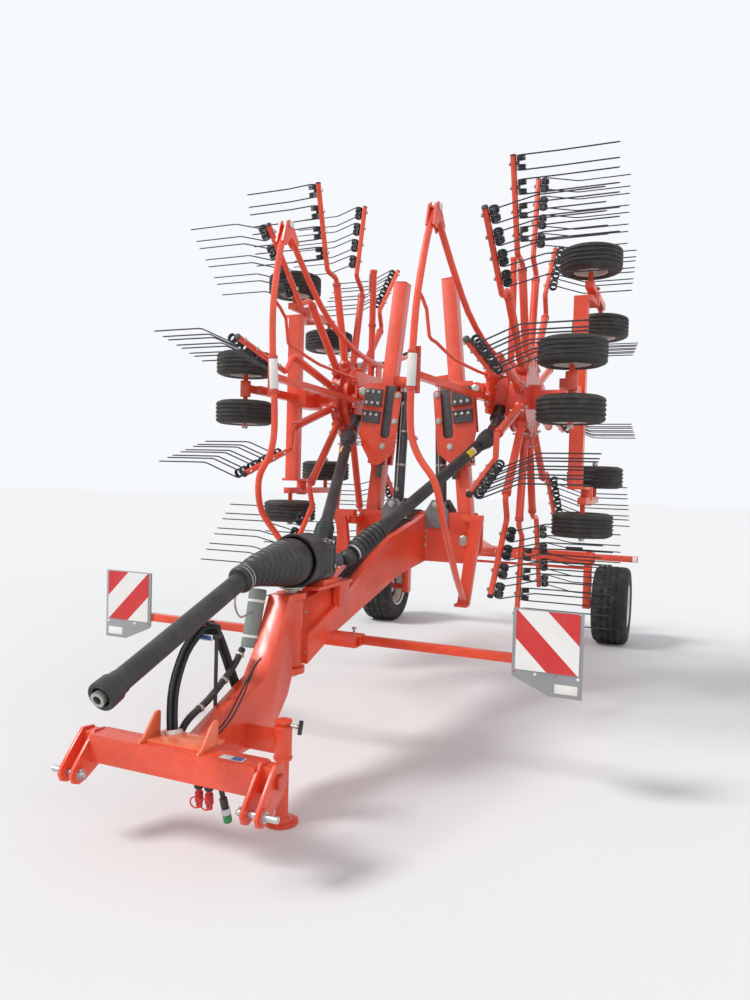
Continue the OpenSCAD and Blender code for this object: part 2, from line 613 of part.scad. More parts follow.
// Undercarriage of the left rotor
module undercarriage() color(orange) {
    difference() {
        slab([column_x[1] - 60, column_x[1] + 60], [305, 620], [rotor_z - 80, rotor_z + 80]);
        along_x([column_x[1] - 60, rotor_y, rotor_z], 120 + 2 * seat_gap, column_d + 2 * seat_gap);
    }
    slab([1120, 1220], [305, 395], [rotor_z - cross_u, rotor_z + cross_u]);
    slab([1130, 1200], [-250, 306], [rotor_z - 30, rotor_z + 30]);
    slab([1180, 1200], [twin_y, -249], [rotor_z - 30, rotor_z + 30]);
    along_z([wheel_x, twin_y, rotor_z], 120, 80);
    along_z([wheel_x, twin_y, rotor_z], 2 * (twin_u + wheel_w / 2 + 10), wheel_axle_d);
    for (e = [-1, 1]) {
        slab([1120, 1250], [305, 650], [rotor_z + e * (cross_u + 10) - 10, rotor_z + e * (cross_u + 10) + 10]);
        along_z([wheel_x, 600, rotor_z + e * (cross_u + rocker_u) / 2], rocker_u - cross_u, 90);
        slab([wheel_x - 30, wheel_x + 30], [front_y - 60, rear_y + 60],
            [rotor_z + e * rocker_u - 25, rotor_z + e * rocker_u + 25]);
        along_z([wheel_x, front_y, rotor_z + e * (rocker_u + front_u + wheel_w / 2 + 10) / 2],
            front_u + wheel_w / 2 + 10 - rocker_u, wheel_axle_d);
        along_z([wheel_x, rear_y, rotor_z + e * (rocker_u + rear_u - wheel_w / 2 - 10) / 2],
            rocker_u - rear_u + wheel_w / 2 + 10, wheel_axle_d);
    }
}

// Guard hoop of the left rotor with its channel arm and brace
channel_start = [452, -1188, 2213];
channel_end = [530, 190, 2215];
guard_top = [[-1095, 3085], [-1045, 3070], [-985, 3140], [-900, 3090], [-885, 3130], [-975, 3225], [-1015, 3240],
    [-1055, 3215]];
module guard() color(orange) {
    tube(curve(guard_low, 3), guard_d);
    tube(curve(guard_back, 2), guard_d);
    side_plate(guard_top, [500 - 28, 500 - 16]);
    side_plate(guard_top, [500 + 16, 500 + 28]);
    along_x([500, guard_low[14][1] + 8, guard_low[14][2] + 4], 72, 20);
    tube(curve(guard_brace, 2), 22);
    aim(channel_start, unit(channel_end - channel_start)) translate([-20, -25, 0])
        cube([40, 50, norm(channel_end - channel_start)]);
    slab([516, 560], [184, head_plate_y[0] - seat_gap], [2160, 2270]);
    slab([516, 560], [170, head_plate_y[0] - seat_gap], [2365, 2420]);
    slab([526, 538], [600, 700], [head_plate_z[1] + seat_gap, 2562]);
    along_z([guard_low[0][0], guard_low[0][1], (rest_foot_z + guard_low[0][2]) / 2 + seat_gap],
        guard_low[0][2] - rest_foot_z, 34);
}

// Rotor: drum with a radial tine arm at every step round it
hub_d = 190;
arm_root_r = drum_d / 2 - 20;
bend_r = [985, 1065];
arm_turn = 360 / arm_count;
sleeve_end_r = 960;
arm_path = [[arm_root_r, 0, 0], [bend_r[0], 0, 0], [bend_r[0] + 20, 0.12 * arm_step, 0],
    [bend_r[1] - 10, 0.88 * arm_step, 0], [bend_r[1] + 10, arm_step, 0], [arm_r, arm_step, 0]];
module rotor(start) color(orange) translate([0, rotor_y, rotor_z]) {
    difference() {
        union() {
            along_x([(drum_x[0] + drum_x[1]) / 2, 0, 0], drum_x[1] - drum_x[0], hub_d);
            along_x([arm_plane_x - 35, 0, 0], 130, drum_d - 60);
            along_x([arm_plane_x, 0, 0], 80, drum_d);
        }
        along_x([(drum_x[0] + drum_x[1]) / 2, 0, 0], 400, column_d + 2 * running_gap);
    }
    for (k = [0:arm_count - 1]) translate([arm_plane_x, 0, 0]) arm_frame(start + k * arm_turn) {
        tube(arm_path, arm_d, [0, 0, 1], 8);
        along_x([(arm_root_r + sleeve_end_r) / 2, 0, 0], sleeve_end_r - arm_root_r, arm_sleeve_d);
    }
}

// Local x runs out along an arm, local z towards the ground side of the rotor
module arm_frame(turn) rotate([turn, 0, 0]) rotate([0, 90, 0]) rotate([0, 0, 90]) children();

tine_first_r = arm_r - arm_tail - (tine_pairs - 1) * tine_pitch;
module tines(start) color([0.12, 0.12, 0.13]) translate([arm_plane_x, rotor_y, rotor_z])
    for (k = [0:arm_count - 1], p = [0:tine_pairs - 1]) arm_frame(start + k * arm_turn)
        translate([tine_first_r + p * tine_pitch, arm_step, arm_d / 2 + coil_d / 2 + seat_gap]) double_tine();
knee_dir = unit([0, -knee_step, knee_share * tine_l]);
knee_l = norm([knee_step, knee_share * tine_l]);
knee_gap = 1.5;
module double_tine() {
    along_x([0, 0, 0], tine_gap + tine_d + 3, coil_d);
    for (e = [-1, 1]) translate([e * tine_gap / 2, coil_d / 2 - tine_d, 0]) {
        aim([0, 0, 0], knee_dir) cylinder(h = knee_l - knee_gap, d = tine_d);
        translate(knee_l * knee_dir) sphere(d = tine_d + 1.5);
        translate(knee_l * knee_dir + [0, 0, knee_gap]) cylinder(h = (1 - knee_share) * tine_l - knee_gap, d = tine_d);
    }
}

// Rotor wheel with its hub, disc and tyre, turning about Z
module rotor_wheel(y, u) translate([wheel_x, y, rotor_z + u]) rotate_extrude()
    polygon([[wheel_axle_d / 2 + running_gap, -60], [50, -60], [50, -12], [118, -12], [118, -0.42 * wheel_w],
        [140, -0.5 * wheel_w], [wheel_d / 2 - 25, -0.5 * wheel_w], [wheel_d / 2, -0.36 * wheel_w],
        [wheel_d / 2, 0.36 * wheel_w], [wheel_d / 2 - 25, 0.5 * wheel_w], [140, 0.5 * wheel_w],
        [118, 0.42 * wheel_w], [118, 12], [50, 12], [50, 60], [wheel_axle_d / 2 + running_gap, 60]]);

// The two front wheels of the left rotor on one axle
module twin_wheels() color(black) for (e = [-1, 1]) rotor_wheel(twin_y, e * twin_u);

// Rotor drive shaft: joint ball, outer tube with its bellows, and inner tube with its end cone
bellows_l = 300;
outer_l = 1500;
cross_pin_d = 20;
module shaft_joint() color(black) translate(shaft_start) {
    sphere(d = joint_ball_d);
    along_y([0, 0, 0], joint_ball_d + 6, cross_pin_d);
    aim([0, 0, 0], unit(cross([0, 1, 0], shaft_dir))) cylinder(h = joint_ball_d + 6, d = cross_pin_d, center = true);
}
module shaft_outer() color(black) difference() {
    aim(shaft_start + (joint_ball_d / 2 + running_gap) * shaft_dir, shaft_dir) {
        cylinder(h = outer_l - joint_ball_d / 2, d = shaft_d);
        for (k = [0:5]) translate([0, 0, 4 + k * 46]) cylinder(h = 34, d1 = 112 - 2 * k, d2 = 118 - 2 * k);
    }
    aim(shaft_start + 120 * shaft_dir, shaft_dir) cylinder(h = outer_l, d = shaft_inner_d + 2 * running_gap);
}
module shaft_inner() color(black) {
    aim(shaft_start + 700 * shaft_dir, shaft_dir) cylinder(h = shaft_l - 700, d = shaft_inner_d);
    aim(shaft_start + (outer_l + 10) * shaft_dir, shaft_dir)
        cylinder(h = shaft_l - outer_l - 10 - 30, d1 = 80, d2 = 130);
    translate(shaft_end) sphere(d = joint_ball_d);
}

// Transport wheel, rim and steering knuckle of the left side
leg_x = [955, 1030];
module knuckle() color(orange) {
    along_z([kingpin_x, axle_y, axle_z + axle_h / 2], axle_h + 30, kingpin_d);
    along_z([kingpin_x, axle_y, axle_z + axle_h + side_gap + 6], 12, kingpin_d + 20);
    slab(leg_x, [axle_y - 50, axle_y + 50], [wheel_z - 60, axle_z - 0.5]);
    along_x([(leg_x[1] + wheel_mid_x + 60) / 2 - 1, axle_y, wheel_z], wheel_mid_x + 60 - leg_x[1] + 2, stub_d);
    slab([kingpin_x - 30, kingpin_x - 10], [axle_y, axle_y + lever_l + 20], [axle_z - 60, axle_z - 36]);
}
module rim() color([0.75, 0.75, 0.72]) translate([wheel_mid_x, axle_y, wheel_z]) rotate([0, 90, 0]) rotate_extrude()
    polygon([[stub_d / 2 + running_gap, -80], [80, -80], [80, -10], [rim_d / 2 - 12, -10], [rim_d / 2 - 12, -0.44 * tyre_w],
        [rim_d / 2, -0.44 * tyre_w], [rim_d / 2, 0.44 * tyre_w], [rim_d / 2 - 12, 0.44 * tyre_w], [rim_d / 2 - 12, 10],
        [80, 10], [80, 60], [stub_d / 2 + running_gap, 60]]);
module tyre() color(black) translate([wheel_mid_x, axle_y, wheel_z]) rotate([0, 90, 0]) rotate_extrude()
    polygon([[rim_d / 2 + seat_gap, -0.42 * tyre_w], [rim_d / 2 + 40, -0.48 * tyre_w], [0.42 * tyre_d, -0.5 * tyre_w],
        [0.47 * tyre_d, -0.47 * tyre_w], [0.5 * tyre_d, -0.36 * tyre_w], [0.5 * tyre_d, 0.36 * tyre_w],
        [0.47 * tyre_d, 0.47 * tyre_w], [0.42 * tyre_d, 0.5 * tyre_w], [rim_d / 2 + 40, 0.48 * tyre_w],
        [rim_d / 2 + seat_gap, 0.42 * tyre_w]]);
module tie_rod() color(orange) along_x([0, axle_y + lever_l, axle_z - 60 - 14 - seat_gap], 2 * kingpin_x - 40, 28);

main_frame();
guard_rests();
cylinder_brackets();
gearbox();
gearbox_guards();
rear_lights();
pivot_pins();
headstock();
hitch_pins();
pto_guard();
pto_yoke();
hose_rack();
hoses();
document_tube();
parking_stand();
board_arm(board_lane[0]);  // board_arm_left
on_side(-1) board_arm(board_lane[1]);  // board_arm_right
board();  // board_left
on_side(-1) board();  // board_right
lift_arm();  // lift_arm_left
on_side(-1) lift_arm();  // lift_arm_right
lift_barrel();  // lift_barrel_left
on_side(-1) lift_barrel();  // lift_barrel_right
lift_rod();  // lift_rod_left
on_side(-1) lift_rod();  // lift_rod_right
carriage();  // carriage_left
on_side(-1) carriage();  // carriage_right
rotor_head();  // rotor_head_left
on_side(-1) rotor_head();  // rotor_head_right
undercarriage();  // undercarriage_left
on_side(-1) undercarriage();  // undercarriage_right
guard();  // guard_left
on_side(-1) guard();  // guard_right
rotor(arm_start_left);  // rotor_left
on_side(-1) rotor(arm_start_right);  // rotor_right
tines(arm_start_left);  // tines_left
on_side(-1) tines(arm_start_right);  // tines_right
twin_wheels();  // twin_wheels_left
on_side(-1) twin_wheels();  // twin_wheels_right
rotor_wheel(front_y, front_u);  // outer_front_wheel_left
on_side(-1) rotor_wheel(front_y, front_u);  // outer_front_wheel_right
rotor_wheel(rear_y, rear_u);  // outer_rear_wheel_left
on_side(-1) rotor_wheel(rear_y, rear_u);  // outer_rear_wheel_right
rotor_wheel(front_y, -front_u);  // inner_front_wheel_left
on_side(-1) rotor_wheel(front_y, -front_u);  // inner_front_wheel_right
rotor_wheel(rear_y, -rear_u);  // inner_rear_wheel_left
on_side(-1) rotor_wheel(rear_y, -rear_u);  // inner_rear_wheel_right
shaft_joint();  // shaft_joint_left
on_side(-1) shaft_joint();  // shaft_joint_right
shaft_outer();  // shaft_outer_left
on_side(-1) shaft_outer();  // shaft_outer_right
shaft_inner();  // shaft_inner_left
on_side(-1) shaft_inner();  // shaft_inner_right
knuckle();  // knuckle_left
on_side(-1) knuckle();  // knuckle_right
tyre();  // tyre_left
on_side(-1) tyre();  // tyre_right
rim();  // rim_left
on_side(-1) rim();  // rim_right
tie_rod();
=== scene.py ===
import json
import math
import bmesh
import bpy
from mathutils import Euler, Matrix, Vector

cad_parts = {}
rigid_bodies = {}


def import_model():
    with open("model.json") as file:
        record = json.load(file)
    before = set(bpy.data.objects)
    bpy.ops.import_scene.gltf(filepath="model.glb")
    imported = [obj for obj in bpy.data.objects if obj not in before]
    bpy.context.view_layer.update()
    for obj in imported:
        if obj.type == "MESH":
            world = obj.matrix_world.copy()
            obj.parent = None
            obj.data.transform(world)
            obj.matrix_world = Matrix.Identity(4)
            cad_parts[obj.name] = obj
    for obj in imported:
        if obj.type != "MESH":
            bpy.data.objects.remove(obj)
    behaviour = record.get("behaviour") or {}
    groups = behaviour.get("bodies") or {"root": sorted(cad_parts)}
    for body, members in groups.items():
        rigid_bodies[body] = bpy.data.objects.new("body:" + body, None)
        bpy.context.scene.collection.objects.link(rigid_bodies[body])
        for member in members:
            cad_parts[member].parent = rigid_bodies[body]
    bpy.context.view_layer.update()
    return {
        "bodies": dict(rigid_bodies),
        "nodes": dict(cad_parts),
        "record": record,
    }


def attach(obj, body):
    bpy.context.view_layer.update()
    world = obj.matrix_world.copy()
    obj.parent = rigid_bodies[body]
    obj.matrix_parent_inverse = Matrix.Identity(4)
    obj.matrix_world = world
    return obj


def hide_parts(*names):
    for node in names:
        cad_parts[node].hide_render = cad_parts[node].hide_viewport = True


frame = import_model()
nodes = frame["nodes"]
print("frame loaded:", len(nodes), "nodes")


camera = {"place": (1.963, -5.237, 1.6105), "yaw": 22.99, "pitch": -1.72, "roll": 1.59, "lens": 27.0}


def makeCamera():
    yaw, pitch, roll = (math.radians(camera[k]) for k in ("yaw", "pitch", "roll"))
    ahead = Vector((-math.sin(yaw) * math.cos(pitch), math.cos(yaw) * math.cos(pitch), math.sin(pitch)))
    right = Vector((math.cos(yaw), math.sin(yaw), 0.0))
    up = right.cross(ahead)
    tiltRight = right * math.cos(roll) + up * math.sin(roll)
    tiltUp = up * math.cos(roll) - right * math.sin(roll)
    data = bpy.data.cameras.new("camera")
    data.lens = camera["lens"]
    data.sensor_width = 36.0
    data.clip_end = 200.0
    seat = bpy.data.objects.new("camera", data)
    turn = Matrix((tiltRight, tiltUp, -ahead)).transposed()
    seat.matrix_world = Matrix.Translation(camera["place"]) @ turn.to_4x4()
    bpy.context.collection.objects.link(seat)
    bpy.context.scene.camera = seat


makeCamera()
print("camera set")


# Shader maths: a wired socket that takes part in plain Python expressions
class Wire:
    def __init__(self, finish, socket):
        self.finish = finish
        self.socket = socket

    def calc(self, operation, *others):
        return self.finish.node("ShaderNodeMath", {"operation": operation}, dict(enumerate(others)))

    def __add__(self, other):
        return self.calc("ADD", self, other)

    __radd__ = __add__

    def __sub__(self, other):
        return self.calc("SUBTRACT", self, other)

    def __rsub__(self, other):
        return self.calc("SUBTRACT", other, self)

    def __mul__(self, other):
        return self.calc("MULTIPLY", self, other)

    __rmul__ = __mul__

    def __truediv__(self, other):
        return self.calc("DIVIDE", self, other)

    def part(self):
        return self.calc("FRACT", self)


# A material, or the studio's world, built node by node
class Finish:
    def __init__(self, name, store=bpy.data.materials):
        self.material = store.new(name)
        self.material.use_nodes = True
        self.tree = self.material.node_tree
        self.shader = self.tree.nodes.get("Principled BSDF")

    # adds a node: its settings first, then the values or links of its sockets
    def node(self, kind, settings=None, inputs=None, output=0):
        made = self.tree.nodes.new(kind)
        for key, value in (settings or {}).items():
            setattr(made, key, value)
        for key, value in (inputs or {}).items():
            if isinstance(value, Wire):
                self.tree.links.new(value.socket, made.inputs[key])
            else:
                made.inputs[key].default_value = value
        return Wire(self, made.outputs[output]) if made.outputs else None

    def place(self):
        return self.node("ShaderNodeTexCoord", output="Object")

    def axis(self, name):
        return self.node("ShaderNodeSeparateXYZ", inputs={0: self.place()}, output=name)

    def noise(self, scale, detail=3.0, roughness=0.55, stretch=(1.0, 1.0, 1.0)):
        spot = self.node("ShaderNodeMapping", {}, {"Vector": self.place(), "Scale": stretch})
        return self.node("ShaderNodeTexNoise", {}, {"Vector": spot, "Scale": scale, "Detail": detail,
            "Roughness": roughness})

    # 0 below low, 1 above high
    def step(self, value, low, high):
        return self.node("ShaderNodeMapRange", {"interpolation_type": "SMOOTHSTEP"},
            {"Value": value, "From Min": low, "From Max": high})

    def mix(self, factor, one, two):
        one, two = (c if isinstance(c, Wire) else (*c, 1.0) for c in (one, two))
        return self.node("ShaderNodeMix", {"data_type": "RGBA"}, {0: factor, 6: one, 7: two}, output=2)

    def bump(self, height, strength, distance):
        return self.node("ShaderNodeBump", {}, {"Height": height, "Strength": strength,
            "Distance": distance})

    def set(self, **values):
        names = {"colour": "Base Color", "roughness": "Roughness", "metallic": "Metallic",
            "normal": "Normal", "coat": "Coat Weight", "coatRoughness": "Coat Roughness",
            "specular": "Specular IOR Level"}
        for key, value in values.items():
            socket = self.shader.inputs[names[key]]
            if isinstance(value, Wire):
                self.tree.links.new(value.socket, socket)
            elif key == "colour":
                socket.default_value = (*value, 1.0)
            else:
                socket.default_value = value
        return self.material


dirt = {"paint": (0.42, 0.34, 0.27), "chip": (0.16, 0.09, 0.07), "plastic": (0.3, 0.27, 0.23),
    "rubber": (0.17, 0.145, 0.115), "board": (0.35, 0.31, 0.27)}
stripes = {"red": (0.6, 0.02, 0.02), "white": (0.8, 0.79, 0.76), "pitch": 0.215, "middle": (1.32, 0.813)}


# Sprayed paint with faint cloudiness, dust and small chips
def paintFinish(name, colour, dust=0.12, gloss=0.3, chips=0.0):
    f = Finish(name)
    cloud = f.noise(2.3, 4.0)
    fine = f.noise(38.0, 5.0, 0.6)
    darker = tuple(c * 0.86 for c in colour)
    lighter = tuple(min(1.0, c * 1.08 + 0.006) for c in colour)
    base = f.mix(f.step(cloud, 0.35, 0.68), darker, lighter)
    dusty = f.step(fine, 0.42, 0.75) * dust
    base = f.mix(dusty, base, dirt["paint"])
    if chips:
        spots = f.step(f.noise(95.0, 2.0, 0.5), 0.735 - chips, 0.75 - chips)
        base = f.mix(spots, base, dirt["chip"])
    peel = f.noise(260.0, 2.0, 0.4)
    return f.set(colour=base, roughness=f.step(fine, 0.3, 0.8) * 0.16 + gloss,
        normal=f.bump(peel, 0.06, 0.001), coat=0.25, coatRoughness=0.12)


def plasticFinish(name, colour, rough=0.5, grain=0.12, dust=0.12):
    f = Finish(name)
    fine = f.noise(420.0, 2.0, 0.5)
    cloud = f.noise(7.0, 4.0, 0.6)
    base = f.mix(f.step(cloud, 0.4, 0.75) * dust, colour, dirt["plastic"])
    return f.set(colour=base, roughness=cloud * 0.15 + rough, normal=f.bump(fine, grain, 0.001))


# Bright metal with fine lines drawn out along Z
def metalFinish(name, colour, rough=0.3, metallic=1.0):
    f = Finish(name)
    lines = f.noise(60.0, 4.0, 0.6, (1.0, 1.0, 8.0))
    cloud = f.noise(9.0, 3.0, 0.5)
    base = f.mix(f.step(cloud, 0.35, 0.7), tuple(c * 0.82 for c in colour), colour)
    return f.set(colour=base, roughness=lines * 0.25 + rough, metallic=metallic,
        normal=f.bump(lines, 0.08, 0.001))


def rubberFinish(name, colour, dust=0.35, rough=0.75):
    f = Finish(name)
    cloud = f.noise(11.0, 5.0, 0.65)
    fine = f.noise(190.0, 3.0, 0.6)
    base = f.mix(f.step(cloud, 0.45, 0.8) * dust, colour, dirt["rubber"])
    return f.set(colour=base, roughness=fine * 0.12 + rough, normal=f.bump(fine, 0.18, 0.001),
        specular=0.35)


# Red stripes on a white sheet, falling towards its outer, lower side
def stripeFinish(name, side):
    f = Finish(name)
    across = f.axis("X") * side - stripes["middle"][0]
    up = f.axis("Z") - stripes["middle"][1]
    lane = ((across + up) / (stripes["pitch"] * math.sqrt(2.0))).part()
    red = f.step(lane, 0.495, 0.505)
    grime = f.step(f.noise(9.0, 5.0, 0.6), 0.45, 0.8)
    base = f.mix(red, stripes["white"], stripes["red"])
    base = f.mix(grime * 0.1, base, dirt["board"])
    return f.set(colour=base, roughness=0.32, coat=0.2, coatRoughness=0.2)


paints = {
    "orange": paintFinish("orange_paint", (0.8, 0.066, 0.02)),
    # a darker copy of the orange paint: painted shade on the sockets, spigots, caps, clamps and rings
    "paintedShadeOrange": paintFinish("orange_paint_painted_shade", (0.62, 0.045, 0.02), dust=0.2, chips=0.01),
    # a lighter copy of the orange paint: painted sunlight on the horn gussets
    "paintedLightOrange": paintFinish("orange_paint_painted_light", (0.85, 0.16, 0.06), dust=0.05),
    "grey": paintFinish("grey_paint", (0.2, 0.21, 0.22), dust=0.1),
    "darkGrey": paintFinish("dark_grey_paint", (0.045, 0.047, 0.05), dust=0.1, gloss=0.38),
    "white": paintFinish("white_cap", (0.78, 0.76, 0.72), dust=0.1),
    "rim": paintFinish("rim_paint", (0.66, 0.66, 0.62), dust=0.16),
    "black": plasticFinish("black_plastic", (0.018, 0.018, 0.02), 0.42),
    "boot": plasticFinish("boot_plastic", (0.022, 0.022, 0.024), 0.38, grain=0.06),
    "greyPlastic": plasticFinish("grey_plastic", (0.2, 0.23, 0.21), 0.45, dust=0.1),
    "steel": metalFinish("bright_steel", (0.62, 0.62, 0.64), 0.22),
    "zinc": metalFinish("zinc_steel", (0.55, 0.54, 0.5), 0.34),
    "tine": metalFinish("tine_steel", (0.045, 0.047, 0.055), 0.36, metallic=0.55),
    "rubber": rubberFinish("hose_rubber", (0.016, 0.016, 0.017), dust=0.12, rough=0.5),
    "tyre": rubberFinish("tyre_rubber", (0.022, 0.022, 0.023), dust=0.5),
    "rotorTyre": rubberFinish("rotor_tyre_rubber", (0.034, 0.032, 0.03), dust=0.4, rough=0.62),
    "lamp": plasticFinish("lamp_red", (0.42, 0.012, 0.01), 0.18, grain=0.02, dust=0.04),
    "amber": plasticFinish("lamp_amber", (0.75, 0.22, 0.02), 0.18, grain=0.02, dust=0.04),
    "yellow": paintFinish("yellow_label", (0.85, 0.58, 0.03), dust=0.06),
    "blue": paintFinish("blue_label", (0.04, 0.13, 0.42), dust=0.06),
    "sheet": paintFinish("board_back", (0.3, 0.31, 0.32), dust=0.12),
    "stripesLeft": stripeFinish("stripes_left", 1.0),
    "stripesRight": stripeFinish("stripes_right", -1.0),
    "green": plasticFinish("coupling_green", (0.02, 0.22, 0.07), 0.3),
    "red": plasticFinish("coupling_red", (0.55, 0.02, 0.02), 0.3),
}
print("finishes:", len(paints))

nodePaint = {
    "main_frame": "orange", "guard_rests": "orange", "cylinder_brackets": "grey", "gearbox": "darkGrey",
    "gearbox_guards": "boot", "rear_lights": "lamp", "pivot_pins": "zinc", "headstock": "orange",
    "hitch_pins": "steel", "pto_guard": "boot", "pto_yoke": "zinc", "hose_rack": "black", "hoses": "rubber",
    "document_tube": "greyPlastic", "parking_stand": "orange", "tie_rod": "orange",
    "board_left": "stripesLeft", "board_right": "stripesRight",
}
sidePaint = {
    "board_arm": "orange", "lift_arm": "orange", "lift_barrel": "darkGrey", "lift_rod": "steel",
    "carriage": "orange", "rotor_head": "orange", "undercarriage": "orange", "guard": "orange",
    "rotor": "orange", "tines": "tine",
    "twin_wheels": "rotorTyre", "outer_front_wheel": "rotorTyre", "outer_rear_wheel": "rotorTyre",
    "inner_front_wheel": "rotorTyre", "inner_rear_wheel": "rotorTyre", "shaft_joint": "black",
    "shaft_outer": "black", "shaft_inner": "black", "knuckle": "orange", "tyre": "tyre", "rim": "rim",
}
for stem, paintName in sidePaint.items():
    nodePaint[stem + "_left"] = paintName
    nodePaint[stem + "_right"] = paintName
for nodeName, node in nodes.items():
    node.data.materials.clear()
    node.data.materials.append(paints[nodePaint[nodeName]])
print("frame painted")

# Shapes: each of these returns a template along Z at the origin; settle() makes a piece of it
mirrorX = Matrix.Scale(-1.0, 4, (1.0, 0.0, 0.0))
sides = (("left", Matrix.Identity(4)), ("right", mirrorX))
templates = []


def pickOnly(piece=None):
    bpy.ops.object.select_all(action="DESELECT")
    if piece:
        piece.select_set(True)
        bpy.context.view_layer.objects.active = piece


def shaded(piece, angle):
    pickOnly(piece)
    bpy.ops.object.shade_smooth_by_angle(angle=math.radians(angle))
    return piece


# stations are (height, radius) from the bottom to the top
def turned(stations, around=32, angle=35):
    pickOnly()
    last = stations[0]
    bpy.ops.mesh.primitive_circle_add(vertices=around, radius=last[1], fill_type="NGON", location=(0, 0, 0))
    piece = bpy.context.object
    bpy.ops.object.mode_set(mode="EDIT")
    bpy.ops.mesh.select_all(action="SELECT")
    bpy.ops.transform.translate(value=(0, 0, last[0]))
    for height, radius in stations[1:]:
        bpy.ops.mesh.extrude_region_move(TRANSFORM_OT_translate={"value": (0, 0, height - last[0])})
        grow = radius / last[1]
        bpy.ops.transform.resize(value=(grow, grow, 1.0), center_override=(0, 0, height))
        last = (height, radius)
    bpy.ops.mesh.select_all(action="SELECT")
    bpy.ops.mesh.normals_make_consistent(inside=False)
    bpy.ops.object.mode_set(mode="OBJECT")
    templates.append(piece)
    return shaded(piece, angle)


# a closed outline in X and Y with a thickness up Z
def plate(outline, thickness, bevel=0.0015, angle=40):
    pickOnly()
    bpy.ops.mesh.primitive_circle_add(vertices=len(outline), radius=1.0, fill_type="NGON",
        location=(0, 0, 0))
    piece = bpy.context.object
    for vertex, spot in zip(piece.data.vertices, outline):
        vertex.co = (spot[0], spot[1], 0.0)
    bpy.ops.object.mode_set(mode="EDIT")
    bpy.ops.mesh.select_all(action="SELECT")
    bpy.ops.mesh.extrude_region_move(TRANSFORM_OT_translate={"value": (0, 0, thickness)})
    bpy.ops.mesh.select_all(action="SELECT")
    bpy.ops.mesh.normals_make_consistent(inside=False)
    bpy.ops.object.mode_set(mode="OBJECT")
    if bevel:
        softenEdges(piece, bevel)
    templates.append(piece)
    return shaded(piece, angle)


def softenEdges(piece, width, segments=2):
    pickOnly(piece)
    modifier = piece.modifiers.new("edges", "BEVEL")
    modifier.width = width
    modifier.segments = segments
    modifier.limit_method = "ANGLE"
    modifier.angle_limit = math.radians(35)
    bpy.ops.object.modifier_apply(modifier=modifier.name)


def block(x, y, z, bevel=0.003):
    piece = plate([(-x / 2, -y / 2), (x / 2, -y / 2), (x / 2, y / 2), (-x / 2, y / 2)], z, bevel)
    piece.data.transform(moved(0, 0, -z / 2))
    return piece


# a round tube along points, with a radius of its own at each point where radii are given
def swept(points, radius, around=10, radii=None, closed=False, angle=50):
    route = bpy.data.curves.new("route", "CURVE")
    route.dimensions = "3D"
    spline = route.splines.new("POLY")
    spline.points.add(len(points) - 1)
    for i, spot in enumerate(points):
        spline.points[i].co = (*spot, 1.0)
        spline.points[i].radius = radii[i] / radius if radii else 1.0
    spline.use_cyclic_u = closed
    route.bevel_depth = radius
    route.bevel_resolution = max(0, around // 2 - 2)
    route.use_fill_caps = not closed
    piece = bpy.data.objects.new("route", route)
    bpy.context.collection.objects.link(piece)
    pickOnly(piece)
    bpy.ops.object.convert(target="MESH")
    piece = bpy.context.object
    bpy.ops.object.mode_set(mode="EDIT")
    bpy.ops.mesh.select_all(action="SELECT")
    bpy.ops.mesh.remove_doubles(threshold=0.00005)
    bpy.ops.mesh.normals_make_consistent(inside=False)
    bpy.ops.object.mode_set(mode="OBJECT")
    templates.append(piece)
    return shaded(piece, angle)


# a smooth route through points
def routed(points, steps=6):
    spots = [Vector(p) for p in points]
    made = []
    for i in range(len(spots) - 1):
        a, b, c, d = spots[max(i - 1, 0)], spots[i], spots[i + 1], spots[min(i + 2, len(spots) - 1)]
        for k in range(steps):
            t = k / steps
            made.append(0.5 * (2 * b + (c - a) * t + (2 * a - 5 * b + 4 * c - d) * t * t
                + (3 * b - a - 3 * c + d) * t ** 3))
    made.append(spots[-1])
    return made


def moved(x, y, z):
    return Matrix.Translation((x, y, z))


# the cosine and sine of equal steps round a circle
def around(count, first=0.0):
    return [(math.cos(a), math.sin(a)) for a in [2 * math.pi * (k + first) / count for k in range(count)]]


# an upright ring of points in X and Z
def oval(wide, high, count, lift=0.0):
    return [(wide * c, 0.0, high * s + lift) for c, s in around(count)]


def spun(count):
    return [Matrix.Rotation(2 * math.pi * k / count, 4, "Z") for k in range(count)]


# stands a template, made along Z, at a place and along a direction
def stand(at, direction=(0, 0, 1), turn=0.0):
    facing = Vector(direction).to_track_quat("Z", "Y").to_matrix().to_4x4()
    return Matrix.Translation(at) @ facing @ Matrix.Rotation(math.radians(turn), 4, "Z")


def joined(parts, name="part"):
    build = bmesh.new()
    for template, place in parts:
        start = len(build.verts)
        build.from_mesh(template.data)
        build.verts.ensure_lookup_table()
        for vertex in build.verts[start:]:
            vertex.co = place @ vertex.co
    bmesh.ops.recalc_face_normals(build, faces=build.faces)
    mesh = bpy.data.meshes.new(name)
    build.to_mesh(mesh)
    build.free()
    piece = bpy.data.objects.new(name, mesh)
    bpy.context.collection.objects.link(piece)
    templates.append(piece)
    return piece


def settle(piece, name, paint, body, replaced=()):
    if piece in templates:
        templates.remove(piece)
    piece.name = name
    piece.data.name = name
    piece.data.materials.clear()
    piece.data.materials.append(paints[paint])
    for face in piece.data.polygons:
        face.material_index = 0
    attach(piece, body)
    if replaced:
        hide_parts(*replaced)
    return piece


# a piece of the left side and its mirrored twin on the right
def pair(parts, stem, paint, body, replaced=()):
    for side, flip in sides:
        home = body + "_" + side if body + "_" + side in frame["bodies"] else body
        settle(joined([(template, flip @ place) for template, place in parts]), stem + "_" + side, paint,
            home, [node + "_" + side for node in replaced])


def single(parts, name, paint, body, replaced=()):
    return settle(joined(parts), name, paint, body, replaced)


here = Matrix.Identity(4)


